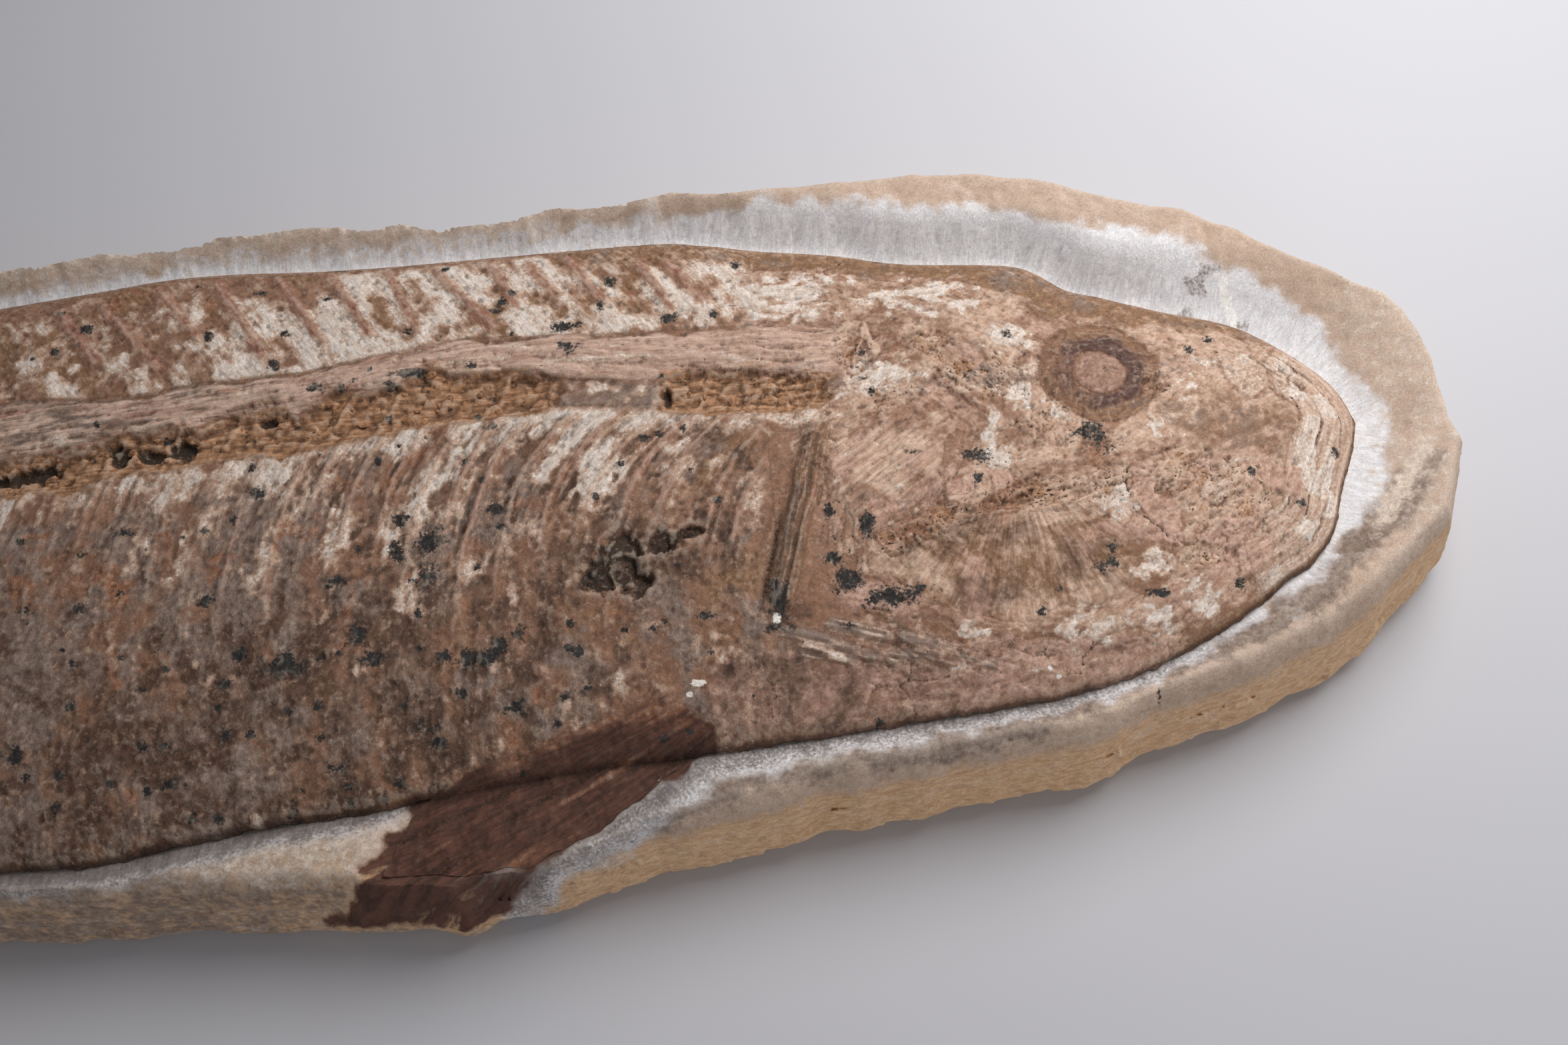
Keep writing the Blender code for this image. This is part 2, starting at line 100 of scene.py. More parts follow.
def spline(points, spacing, closed=True):
    """Points at an even spacing along a smooth curve through the given points."""
    control = np.array(points, float)
    count = len(control)
    fine = []
    for i in range(count if closed else count - 1):
        p0, p1, p2, p3 = (
            control[j % count] if closed else control[min(max(j, 0), count - 1)]
            for j in range(i - 1, i + 3)
        )
        for t in np.linspace(0, 1, 12, endpoint=False):
            fine.append(
                0.5 * (2 * p1 + (p2 - p0) * t + (2 * p0 - 5 * p1 + 4 * p2 - p3) * t**2
                       + (3 * p1 - p0 - 3 * p2 + p3) * t**3)
            )
    fine.append(control[0] if closed else control[-1])
    return evenly(np.array(fine), spacing, closed)


def nearest(places, path, closed=True, reach=110.0):
    """How far each place is from a path, and how far along the path its nearest point is."""
    order = np.argsort(places[:, 0])
    row = places[order]
    best, along, walked = np.full(len(row), reach), np.zeros(len(row)), 0.0
    path = np.asarray(path, float)
    ends = np.roll(path, -1, axis=0) if closed else path[1:]
    for start, end in zip(path, ends):
        west, east = min(start[0], end[0]) - reach, max(start[0], end[0]) + reach
        low, high = np.searchsorted(row[:, 0], (west, east))
        run, away = end - start, row[low:high] - start
        length = max(math.hypot(*run), 1e-6)
        share = np.clip(away @ run / length**2, 0, 1)
        gap = np.hypot(away[:, 0] - share * run[0], away[:, 1] - share * run[1])
        nearer = gap < best[low:high]
        along[low:high] = np.where(nearer, walked + share * length, along[low:high])
        best[low:high] = np.where(nearer, gap, best[low:high])
        walked += length
    back = np.argsort(order)
    return best[back], along[back]


def distance(places, path, closed=True, reach=110.0):
    return nearest(places, path, closed, reach)[0]


def inside(places, loop):
    """Which places are inside a closed outline."""
    loop = np.asarray(loop, float)
    x, y = places.T
    hit = np.zeros(len(places), bool)
    for (x0, y0), (x1, y1) in zip(loop, np.roll(loop, -1, axis=0)):
        if y0 != y1:
            crosses = (y0 > y) != (y1 > y)
            hit ^= crosses & (x < (x1 - x0) * (y - y0) / (y1 - y0) + x0)
    return hit


def ease(value, low, high):
    """0 below low, 1 above high, and a smooth step between them."""
    t = np.clip((value - low) / (high - low), 0, 1)
    return t * t * (3 - 2 * t)


def across(table, x):
    return np.interp(x, *np.array(table, float).T)


def bell(value, half):
    """1 at zero, falling to a third at half."""
    return np.exp(-((value / half) ** 2))


def outward(loop, window=1):
    """Unit normals of a closed loop, smoothed over a few points."""
    run = np.roll(loop, -window, axis=0) - np.roll(loop, window, axis=0)
    return np.column_stack([run[:, 1], -run[:, 0]]) / np.linalg.norm(run, axis=1)[:, None]


# %% [markdown]
# ## Random hills and cells
#
# Stone and bone never repeat, so their texture comes from two kinds of randomness. Hills are a
# lattice of random numbers with smooth slopes between them, and smaller hills on top make them
# rough. Cells are the pattern of cracked mud: each place belongs to the nearest of a lattice of
# scattered points. Both read one fixed table of random numbers, so every run is the same.

# %% Hills and cells
TABLE = np.random.default_rng(11).random((256, 256))


def at_random(i, j, seed):
    """The same random number, 0 to 1, for the same pair of whole numbers."""
    return TABLE[(i + 17 * seed) % 256, (j + 59 * seed) % 256]


def hills(x, y, size, seed):
    """Smooth random hills of a given size, from -1 to 1."""
    u, v = x / size, y / size
    i, j = np.floor(u).astype(int), np.floor(v).astype(int)
    fu, fv = u - i, v - j
    fu, fv = fu * fu * (3 - 2 * fu), fv * fv * (3 - 2 * fv)
    low = at_random(i, j, seed) * (1 - fu) + at_random(i + 1, j, seed) * fu
    high = at_random(i, j + 1, seed) * (1 - fu) + at_random(i + 1, j + 1, seed) * fu
    return 2 * (low * (1 - fv) + high * fv) - 1


def rough(x, y, size, seed, octaves=3):
    """Hills with smaller hills on them, each layer turned so that no lattice shows."""
    total, reach = 0, 0
    for octave in range(octaves):
        turn = 0.6 + 1.1 * octave + seed
        c, s = math.cos(turn), math.sin(turn)
        share = 0.5**octave
        total = total + share * hills(c * x - s * y, s * x + c * y, size * share, seed + octave)
        reach += share
    return total / reach


def cells(x, y, size, seed):
    """Random cells: how far the crack is, a number for the cell, and the way to its middle."""
    u, v = x / size, y / size
    i, j = np.floor(u).astype(int), np.floor(v).astype(int)
    best, second = np.full(u.shape, 9.0), np.full(u.shape, 9.0)
    number, east, north = np.zeros(u.shape), np.zeros(u.shape), np.zeros(u.shape)
    for di in (-1, 0, 1):
        for dj in (-1, 0, 1):
            ci, cj = i + di, j + dj
            du = u - ci - 0.1 - 0.8 * at_random(ci, cj, seed)
            dv = v - cj - 0.1 - 0.8 * at_random(ci, cj, seed + 5)
            away = np.hypot(du, dv)
            nearer = away < best
            second = np.where(nearer, best, np.minimum(second, away))
            number = np.where(nearer, at_random(ci, cj, seed + 9), number)
            east, north = np.where(nearer, du, east), np.where(nearer, dv, north)
            best = np.where(nearer, away, best)
    return (second - best) * size / 2, number, east * size, north * size


def broken(x, y, size, seed, crack, step, tilt):
    """Relief of broken bone: cells at different heights, each tilted, with cracks between."""
    bend = 0.35 * size
    edge, number, east, north = cells(
        x + bend * rough(x, y, size, seed + 30), y + bend * rough(x, y, size, seed + 31), size, seed
    )
    way = 2 * math.pi * number * 7
    slope = (east * np.cos(way) + north * np.sin(way)) * tilt
    return step * (2 * number - 1) + slope, 1 - ease(edge, 0.3 * crack, crack), number


def peeled(x, y, size, seed, levels, octaves=4):
    """Terraces, as thin sheets leave when they peel off one another.

    Returns the height in sheets, how deep in the shadow under an edge a place is, and a
    random number for each sheet.
    """
    hill = levels * rough(x, y, size, seed, octaves)
    level = np.floor(hill)
    part = hill - level
    rise = ease(part, 0.84, 1.0)
    under = ease(part, 0.62, 0.84) * (1 - ease(part, 0.84, 0.93))
    return level + rise - 0.3 * part * (1 - rise), under, at_random(level.astype(int), 5, seed)


# %% [markdown]
# ## The model's own outlines
#
# The scene must not change the size of the object, so it repeats the few lists that the CAD
# model was drawn from: the slab's widest edge, the fish's body, its fins and its backbone.

# %% Outlines of the slab and the fish
SLAB_EDGE = (
    (628, 4), (621, 18), (619, 36), (618, 54), (611, 68), (601, 79), (583, 89), (563, 103),
    (538, 120), (512, 130), (490, 139), (465, 149), (420, 157), (376, 157), (298, 158), (250, 156),
    (206, 153), (165, 156), (127, 158), (90, 156), (49, 154), (3, 151), (-60, 152), (-125, 154),
    (-185, 153), (-240, 146), (-300, 126),
    (-350, 107), (-405, 98), (-455, 106), (-510, 124), (-560, 137), (-600, 136), (-624, 112),
    (-627, 70), (-615, 14), (-627, -34), (-629, -74), (-617, -110), (-582, -124), (-530, -116),
    (-470, -98), (-410, -88), (-340, -101), (-270, -126), (-200, -148), (-130, -158), (-60, -153),
    (3, -143), (43, -146), (87, -144), (127, -148), (161, -151), (194, -154), (213, -152),
    (243, -145), (266, -139), (291, -137), (332, -130), (374, -125), (405, -121), (430, -118),
    (458, -113), (482, -104), (507, -99), (537, -90), (559, -79), (582, -64), (600, -48), (617, -33),
    (624, -10),
)
BODY_EDGE = (
    (578, 17), (573, 34), (560, 49), (544, 62), (531, 69), (509, 76), (482, 86), (468, 91),
    (455, 101), (441, 106), (398, 111), (369, 118), (334, 124), (311, 129), (281, 132), (163, 132),
    (103, 135), (73, 135), (43, 132), (-1, 128), (-60, 122), (-130, 111), (-200, 94), (-280, 72),
    (-350, 54), (-400, 46), (-445, 45), (-448, 8), (-445, -30), (-400, -30), (-350, -39),
    (-280, -60), (-200, -86), (-130, -105), (-60, -116), (0, -120), (63, -121), (114, -114),
    (166, -110), (189, -107), (250, -101), (303, -99), (336, -97), (375, -94), (428, -90),
    (455, -86), (483, -78), (506, -68), (521, -60), (536, -50), (548, -43), (559, -31), (566, -14),
    (574, 3),
)
FINS = {
    "pectoral": (
        (303, -94), (288, -77), ((282, -107), (256, -124)),
        ((230, -136), (200, -137), (172, -135), (188, -108)), 8,
    ),
    "pelvic": ((-10, -113), (-32, -110), ((-40, -131),), ((-62, -137), (-48, -118)), 3),
    "anal": (
        (-98, -104), (-290, -52), ((-128, -134),),
        ((-155, -139), (-180, -118), (-225, -90), (-292, -64)), 12,
    ),
    "dorsal": ((-150, 104), (-222, 84), ((-190, 124),), ((-226, 130), (-226, 98)), 6),
    "upper_tail": ((-424, 42), (-440, 6), ((-500, 82),), ((-592, 112), (-556, 64), (-502, 6)), 8),
    "lower_tail": ((-424, -27), (-440, 10), ((-500, -66),), ((-588, -96), (-554, -46), (-502, 10)), 8),
}
BACKBONE = (
    (-450, 8), (-300, 14), (-150, 26), (-40, 34), (16, 37), (66, 41), (136, 47), (190, 54),
    (221, 56), (290, 50), (345, 46), (361, 45),
)
CAD_RIM_SPACING, CAD_CHIP_SIZE, CAD_CHIP_PITCH = 13.5, 1.6, 17.0

slab = spline(SLAB_EDGE, CAD_RIM_SPACING)
chip = [CAD_CHIP_SIZE * 2 * noise.noise(Vector((x, y, 0)) / CAD_CHIP_PITCH) for x, y in slab]
slab = slab + outward(slab) * np.array(chip)[:, None]
SLAB = slab - (slab.max(axis=0) + slab.min(axis=0)) / 2
BODY = spline(BODY_EDGE, 4.0)
FIN_LOOPS = {
    name: evenly(np.array([front, *leading, *free, rear, front], float), 3.0, closed=True)
    for name, (front, rear, leading, free, _) in FINS.items()
}
print("slab", np.ptp(SLAB, axis=0).round(1), "mm, body", np.ptp(BODY, axis=0).round(1), "mm")

# %% [markdown]
# ## The heights of the slab and the fish
#
# The slab is a table 46 to 60 mm high whose top was cut back round the fish: from the fish
# outwards there is a low groove, a crest, and a rough flank down to the widest line at 12 mm.
# The fish is a dome over its outline. These are the CAD model's rules, so the dressed surface
# stays on the solid and only the fine relief is new.

# %% Heights that follow the CAD model
WIDEST_Z, BACK_INSET, BED_FLOOR_Z = 12.0, 5.0, 30.3
FLANK_POWER, FIN_LIFT, CROWN_RADIUS = 1.8, 0.8, 95.0
CROWN_AT = ((-450, 9.0), (-300, 15.0), (-100, 21.0), (60, 23.0), (480, 23.0), (580, 20.0))


def between(belly, back, y):
    side = 1 - ease(y, -60, 60)
    return belly * side + back * (1 - side)


def tail_drop(x):
    return 7.0 * ease(-x, 80, 420)


def lip_height(x, y):
    return between(50.0, 46.0, y) - tail_drop(x)


def stone_height(x, y, from_fish, from_edge):
    """The prepared groove, the crest and the rough flank of the slab."""
    crest = between(56.0, 60.0, y) - tail_drop(x)
    groove = between(11.0, 25.0, y) + 23.0 * ease(x, 480, 600) * (y > -40)
    lip = lip_height(x, y)
    rim = lip + (crest - lip) * ease(from_fish, 0, groove)
    steep = 1 - (1 - np.clip(from_edge / between(19.0, 10.0, y), 0, 1)) ** FLANK_POWER
    return np.minimum(WIDEST_Z + (crest - WIDEST_Z) * steep, rim)


# %% [markdown]
# ## A field of places
#
# A field is a dictionary: the places, their height so far, and one number from 0 to 1 for each
# stain. Every step below adds relief with `raise_by` or a stain with `mark`. Written like this,
# each feature of the fossil is one short function, and the order of the calls is the order in
# which a preparator would describe the specimen.

# %% The field and the two things done to it
STAINS = (
    "grey", "cream", "strip", "fibre", "ochre", "sand", "plate", "umber", "rust", "fin",
    "eye", "disc", "hole", "black", "white", "dark",
)


def raise_by(field, amount):
    field["height"] = field["height"] + amount


def mark(field, stain, share):
    field[stain] = np.maximum(field[stain], np.clip(share, 0, 1))


def fade(field, stains, share):
    """Takes stains away where another thing covers them."""
    for stain in stains.split() if isinstance(stains, str) else stains:
        field[stain] = field[stain] * (1 - np.clip(share, 0, 1))


def comb(field, share, across_mm, along_mm):
    """Turns the fibres of the surface: they are long in one direction and fine in the other."""
    kept = share < 0.5
    field["across"] = np.where(kept, field["across"], across_mm)
    field["along"] = np.where(kept, field["along"], along_mm)


def zone(field, loop, soft=3.0, ragged=2.5, size=9.0, seed=1):
    """1 inside a given outline and 0 outside it, with a ragged edge."""
    places = field["places"]
    gap = distance(places, loop, reach=25.0) * np.where(inside(places, loop), 1, -1)
    return ease(gap + ragged * rough(field["x"], field["y"], size, seed), -soft / 2, soft / 2)


def blob(field, x, y, across_x, across_y, ragged=0.35):
    """An oval patch with a ragged edge."""
    away = np.hypot((field["x"] - x) / across_x, (field["y"] - y) / across_y)
    return 1 - ease(away + ragged * field["ragged_small"], 0.6, 1.2)


RIB_PITCH, RIB_SWEEP_LENGTH = 17.0, 31.0
RIB_SWEEP_AT = ((-450, 20.0), (90, 20.0), (150, 25.0), (222, 39.0), (300, 62.0))


def new_field(places):
    """A smooth fish under the places, with the measures that the features below ask for."""
    x, y = places.T
    field = {"places": places, "x": x, "y": y}
    in_body = inside(places, BODY)
    depth = distance(places, BODY) * np.where(in_body, 1, -1)
    dome = np.sqrt(1 - (1 - np.clip(depth / CROWN_RADIUS, 0, 1)) ** 2)
    over = y - across(BACKBONE, x)
    below = np.maximum(-over, 0)
    root = x
    for _ in range(4):
        root = x + across(RIB_SWEEP_AT, root) * (1 - np.exp(-below / RIB_SWEEP_LENGTH))
    field.update(depth=depth, in_body=in_body, over=over, below=below, root=root)
    field["skin"] = ease(depth, 1.0, 8.0)
    field["height"] = lip_height(x, y) + FIN_LIFT + across(CROWN_AT, x) * dome
    field["ragged_small"] = rough(x, y, 4.0, 41)
    c, s = math.cos(0.5), math.sin(0.5)
    field["across"], field["along"] = 0.7 * (c * y - s * x), 3.2 * (c * x + s * y)
    field.update({stain: np.zeros(len(places)) for stain in (*STAINS, "crumbs")})
    return field


# %% [markdown]
# ## The skin of the flank
#
# The belly is a granular crust of scales and mineral, mottled grey, rust and brown. Its relief is
# low, so three sizes of hills do it, with pits where grains fell out. The mottling is patches of
# stain in the ribs' own coordinates, because the patches run down with the ribs.


# %% Crust, mottling and manganese
def flank_crust(field):
    x, y, skin, root, below = (field[n] for n in ("x", "y", "skin", "root", "below"))
    trunk = 1 - ease(x, 322, 345)
    flank = trunk * ease(below, 3, 10)
    comb(field, flank, root + 2.0 * rough(x, y, 14, 100), 2.6 * below + 3.4 * np.maximum(below - 45, 0))
    raise_by(field, skin * 1.2 * rough(x, y, 45, 3))
    raise_by(field, 0.55 * skin * rough(x, y, 10, 4) + 0.24 * rough(x, y, 2.6, 5, 2))
    streaks = rough(root / 2.2, below / 14, 1, 101, 2)
    sheets, under, _ = peeled(root / 16, below / 26, 1, 102, 4)
    raise_by(field, flank * (0.34 * streaks * (1 - 0.7 * ease(below, 30, 75)) + 0.30 * sheets))
    # Painted shadow under the edges of the sheets.
    mark(field, "hole", 0.35 * flank * under * ease(rough(x, y, 12, 103), 0.0, 0.5))
    edge, number, _, _ = cells(x, y, 3.4, 6)
    raise_by(field, -0.40 * skin * trunk * (number > 0.74) * ease(edge, 0.1, 0.8))
    down = 0.5 * rough(root / 15, below / 26, 1, 7, 4) + 0.8 * rough(x, y, 13, 132, 4)
    left = 1 - ease(x, 40, 330)
    mark(field, "grey", trunk * ease(down + 0.45 * left + 0.05, -0.15, 0.75) * ease(below, 6, 30))
    warm = 0.5 * rough(root / 15, below / 20, 1, 12, 4) + 0.8 * rough(x, y, 11, 133, 4)
    mark(field, "rust", 0.85 * trunk * ease(warm, 0.02, 0.7) * ease(below, 2, 14))
    pale = rough(x, y, 7, 161, 4) + 0.4 * rough(x, y, 20, 162)
    mark(field, "sand", 0.6 * trunk * ease(pale, 0.15, 1.0) * ease(below, 4, 14))
    deep = 0.6 * rough(root / 10, below / 16, 1, 104, 4) + 0.6 * rough(x, y, 6, 134, 4)
    # Painted shade: darker towards the lower belly and the tail, over random dark patches.
    shade_towards_belly_and_tail = ease(below, 30, 100) * (1 - ease(x, 180, 340))
    mark(field, "dark", 0.85 * trunk * ease(deep + 0.55 * shade_towards_belly_and_tail, 0.05, 0.85))
    edge_band = ease(field["depth"], -1, 1.5) * (1 - ease(field["depth"] + 3 * rough(x, y, 14, 13), 1, 9))
    mark(field, "umber", 0.8 * edge_band * (y < 20))


BLACK_SPOTS = (
    (73, 7, 4, 2), (56, -1, 3, 3), (125, 19, 3, 3), (184, 2, 5, 3), (184, -12, 5, 6), (196, -7, 7, 6),
    (195, -24, 5, 6), (159, -22, 3, 3), (107, -26, 4, 3), (37, -24, 3, 3), (139, -54, 9, 5),
    (85, -59, 3, 2), (57, -63, 2, 2), (116, -59, 3, 2), (116, -78, 3, 3), (126, -79, 2, 2),
    (84, -81, 3, 4), (36, -79, 3, 4), (40, -88, 2, 3), (53, -89, 2, 2), (72, -94, 2, 3),
    (86, -97, 2, 4), (94, -95, 3, 3), (109, -75, 2, 2), (169, -45, 5, 7), (174, -54, 5, 3),
    (122, -48, 3, 4), (153, -52, 3, 2), (213, -58, 10, 4), (201, -56, 4, 3), (223, -54, 3, 3),
    (193, -82, 6, 3), (198, -87, 7, 2), (161, -101, 3, 2), (181, -101, 2, 2), (157, -94, 5, 3),
    (139, -109, 3, 4), (126, -103, 2, 2), (111, -108, 2, 2), (51, -100, 2, 2), (228, -77, 4, 5),
    (223, -79, 2, 3), (207, -70, 3, 2), (231, -49, 3, 3), (253, -59, 2, 3), (249, -56, 2, 2),
    (256, -72, 2, 2), (288, -49, 2, 2), (304, -49, 3, 2), (222, 3, 4, 3),
    (45, 106, 3, 3), (44, 98, 2, 2), (33, 96, 2, 2), (100, 96, 2, 3), (132, 94, 2, 2),
    (149, 111, 3, 1), (119, 118, 3, 2), (129, 79, 3, 3), (199, 123, 2, 2), (223, 96, 3, 3),
    (225, 101, 2, 2), (217, 109, 2, 1), (252, 86, 6, 3), (252, 74, 4, 3), (271, 107, 3, 3),
    (268, 94, 2, 4), (297, 85, 5, 3), (185, 68, 8, 2), (212, 69, 3, 2), (179, 63, 4, 3),
    (185, 89, 3, 2), (148, 65, 3, 2), (164, 67, 2, 2),
    (465, 13, 9, 6), (416, 9, 6, 4), (416, -2, 3, 3), (359, -39, 6, 5), (378, -47, 12, 4),
    (332, -44, 4, 8), (355, -30, 3, 3), (370, -17, 3, 6), (355, -9, 2, 3), (442, -50, 2, 2),
    (463, -41, 5, 3), (480, -54, 7, 2), (331, -56, 5, 2), (522, 57, 3, 2), (348, 14, 1, 4),
)


def manganese(field):
    """Black dendrites: the larger ones where the specimen has them, the small ones by chance."""
    for x, y, half_x, half_y in BLACK_SPOTS:
        near = (abs(field["x"] - x) < 3 * half_x) & (abs(field["y"] - y) < 3 * half_y)
        away = np.hypot((field["x"][near] - x) / half_x, (field["y"][near] - y) / half_y)
        away = 0.92 * away + 0.85 * field["ragged_small"][near]
        field["black"][near] = np.maximum(field["black"][near], 1 - 0.62 * away)
    edge, number, east, north = cells(field["x"], field["y"], 11.0, 14)
    size = 0.8 + 1.9 * (number * 9 % 1)
    few = 0.90 - 0.06 * (1 - ease(field["x"], 250, 330)) * (field["over"] < -20) + 0.08 * (field["x"] > 320)
    mark(field, "black", (number > few) * (1 - 0.62 * np.hypot(east, north) / size) * field["in_body"])


# %% [markdown]
# ## Ribs and neural spines
#
# Ribs sweep tailwards from the backbone, and the spines of the back lean the other way. Both are
# slim reddish strips, a little proud of a chalky white filling. Their rules come from the CAD
# model; here each strip is narrower, wanders, and is broken in places. The spines in the
# photographed half are set one by one, because the eye counts them.

# %% Ribs and spines
NEURAL_SPINES = (
    (31, 118, 52, 88), (50, 118, 80, 82), (73, 126, 95, 96), (99, 127, 124, 84), (125, 127, 149, 88),
    (148, 128, 168, 90), (174, 124, 189, 90), (190, 129, 221, 88), (217, 128, 231, 99),
    (236, 122, 246, 104), (252, 124, 269, 96), (284, 118, 297, 90), (296, 116, 309, 94),
)
SPINE_BAND_TOP = (
    (-450, 18), (-200, 44), (14, 71), (71, 68), (98, 71), (140, 72), (182, 78), (211, 82), (267, 78),
    (323, 77), (365, 76),
)


CREAM_SPOTS = (
    (76, 42), (87, 23), (123, 24), (195, 24), (234, -15), (184, -29), (195, 1), (297, 18), (265, 12),
    (232, 32), (160, 30), (214, -22), (255, 30), (178, -10),
)
BROWN_SPOTS = (
    (322, 15), (314, 27), (125, 2), (181, -6), (197, 29), (230, 27), (104, 15), (62, 16), (210, 8),
    (247, 5), (300, 0), (150, 8),
)


def ribs(field):
    x, y, root, below = (field[n] for n in ("x", "y", "root", "below"))
    phase = root / RIB_PITCH
    number = np.round(phase).astype(int)
    offset = (phase - number) * RIB_PITCH + 5.0 * (at_random(number, 3, 2) - 0.5)
    offset = offset + 1.5 * rough(x, y, 19, 15) + 0.03 * below * (at_random(number, 6, 2) - 0.5)
    trunk = ease(x, -425, -400) * (1 - ease(x, 322, 336))
    length = 88 + 34 * (at_random(number, 8, 3) - 0.5)
    clear = 0.45 + 0.55 * ease(x, 90, 170)
    strength = trunk * clear * ease(below, 8, 15) * (1 - ease(below, length - 45, length + 10))
    kept = ease(rough(root / 7, below / 16, 1, 16) + 0.8, 0.0, 0.6)
    second = at_random(number, 12, 2) * bell(offset - 3.9, 1.3)
    ridge = np.maximum(bell(offset, 2.1), 0.8 * second) * strength
    strands = hills(root / 1.2, below / 18, 1, 17)
    ridge = ridge * (0.55 + 0.45 * ease(rough(root / 9, below / 30, 1, 158), -0.4, 0.4))
    raise_by(field, ridge * (0.8 + 0.6 * kept + 0.3 * strands))
    raise_by(field, 0.3 * strength * np.cos(2 * math.pi * phase) + 0.5 * strength * rough(x, y, 8, 131))
    mark(field, "strip", ridge * (0.4 + 0.5 * kept))
    streaks = rough(root / 2.2, below / 14, 1, 101, 2)
    chalk = rough(root / 11, below / 20, 1, 18, 4) + 0.6 * rough(x, y, 7, 19, 4) + 0.2 * streaks
    west = 1 - ease(x, 50, 170)
    rich = 0.46 - 0.36 * west - 0.60 * ease(below, 42, 85) + 0.35 * bell(below - 14, 8) * ease(x, 40, 110)
    for share, half, spots in ((0.55, 9, CREAM_SPOTS), (-0.6, 8, BROWN_SPOTS)):
        for east, north in spots:
            rich = rich + share * bell(x - east - 0.6 * (y - north), half) * bell(y - north, 1.2 * half)
    chalky = ease(chalk + rich + 0.35 * rough(x, y, 3.2, 157, 3), 0.0, 1.15) * trunk * ease(below, 5, 11)
    fade(field, "grey rust dark", 0.7 * chalky)
    pocket = ease(rough(root / 6, below / 9, 1, 163, 3) + 0.25 * rough(x, y, 4, 164), 0.14, 0.5)
    pocket = pocket * trunk * clear * ease(below, 8, 16) * (1 - ease(below, 60, 100)) * (1 - ridge)
    mark(field, "cream", chalky * (1 - 0.8 * ridge) * (1 - 0.8 * pocket))
    mark(field, "dark", 0.85 * pocket)
    mark(field, "grey", 0.6 * pocket)
    raise_by(field, 0.35 * chalky - 0.3 * pocket)
    shade = ease(rough(root / 10, below / 18, 1, 20), 0.0, 0.55) * ease(x, 180, 260)
    mark(field, "umber", 0.9 * shade * trunk * ease(below, 10, 25) * (1 - chalky))


def neural_spines(field):
    x, y, over = field["x"], field["y"], field["over"]
    lines = [((x0, y0), (x1, y1)) for x0, y0, x1, y1 in NEURAL_SPINES]
    for root in np.arange(-400, 20, 22.0):
        foot = across(BACKBONE, root) + 30
        lines.append(((root - 28, foot + 38), (root, foot)))
    wander = field["places"] + 1.1 * np.column_stack([rough(x, y, 12, 21), np.zeros(len(x))])
    ridge = 0
    for line in lines:
        ridge = np.maximum(ridge, bell(distance(wander, line, closed=False, reach=12.0), 2.5))
    back = (1 - ease(x, 318, 345)) * ease(y - across(SPINE_BAND_TOP, x), -1, 4) * field["skin"]
    slant = x + 0.62 * over
    comb(field, back, slant + 1.2 * rough(x, y, 10, 127), 2.2 * over)
    kept = ease(rough(slant / 6, over / 15, 1, 105) + 0.8, 0.0, 0.6)
    slim = ease(np.cos(2 * math.pi * (slant / 5.0 + 0.5 * rough(x, y, 14, 22))), 0.7, 1.0)
    slim = slim * ease(rough(x, y, 11, 23), 0.0, 0.4)
    streaks = rough(slant / 2.0, over / 12, 1, 106, 2)
    sheets, _, _ = peeled(slant / 11, over / 20, 1, 107, 4)
    raise_by(field, back * ((0.6 + 0.5 * kept) * ridge + 0.25 * slim + 0.16 * streaks + 0.25 * sheets))
    fade(field, "grey rust dark", 0.6 * back)
    mark(field, "strip", back * np.maximum(ridge * (0.7 + 0.3 * kept), 0.25 * slim))
    chalk = rough(slant / 9, over / 18, 1, 24, 4) + 0.8 * rough(x, y, 6, 25, 4)
    rich = 0.24 + 0.28 * ease(x, 60, 160) - 0.55 * ease(y, 106, 124) * (1 - ease(x, 90, 200))
    rich = rich - 0.35 * ease(y, 120, 130) - 0.05 * (1 - ease(x, 20, 110)) + 0.12
    chalky = ease(chalk + rich, -0.15, 1.0) * back * (1 - 0.85 * ridge)
    mark(field, "cream", chalky)
    raise_by(field, 0.3 * chalky)
    mark(field, "umber", back * (1 - 0.8 * chalky) * (1 - ridge) * ease(rough(x, y, 24, 26) + 0.35, 0.0, 0.7))
    mark(field, "rust", 0.8 * back * (1 - chalky) * ease(rough(x, y, 12, 108), 0.1, 0.6))
    mark(field, "sand", 0.7 * back * (1 - ridge) * ease(rough(x, y, 9, 167, 4), -0.15, 0.6))


# %% [markdown]
# ## The fibrous band and the open trough
#
# Above the backbone runs a band of long fibres. Below it the vertebrae have fallen out and left
# an open trough, six millimetres deep, full of ochre crumbs with black holes between them. A
# trough could be cut with a Boolean, but its edges are ragged on every scale, so it is one more
# term of the relief: broken cells, lowered between two given edges.

# %% Band and trough
TROUGH_TOP = (
    (-450, 14), (-215, 28), (-150, 33), (0, 44), (15, 44), (35, 45), (52, 43), (62, 50), (82, 50),
    (101, 51), (112, 55), (131, 57), (140, 52), (154, 62), (182, 61), (193, 71), (207, 65), (227, 65),
    (247, 60), (289, 55), (306, 58), (321, 56), (343, 54), (363, 50),
)
TROUGH_LOW = (
    (-450, 2), (-215, 12), (-150, 18), (0, 28), (17, 28), (45, 27), (66, 32), (85, 32), (99, 34),
    (113, 35), (140, 35), (168, 40), (196, 42), (210, 43), (237, 44), (247, 46), (290, 40),
    (320, 36), (345, 35), (363, 38),
)
TROUGH_RUNS = ((-205, 247), (289, 362))
HOLES = (
    (67, 42, 6, 5), (79, 41, 9, 4), (93, 43, 7, 5), (32, 37, 10, 5), (50, 44, 5, 2), (20, 35, 8, 3),
    (8, 35, 5, 4), (-20, 33, 9, 3), (-62, 30, 8, 4), (-118, 27, 7, 3), (128, 52, 4, 2), (293, 48, 2, 5),
)


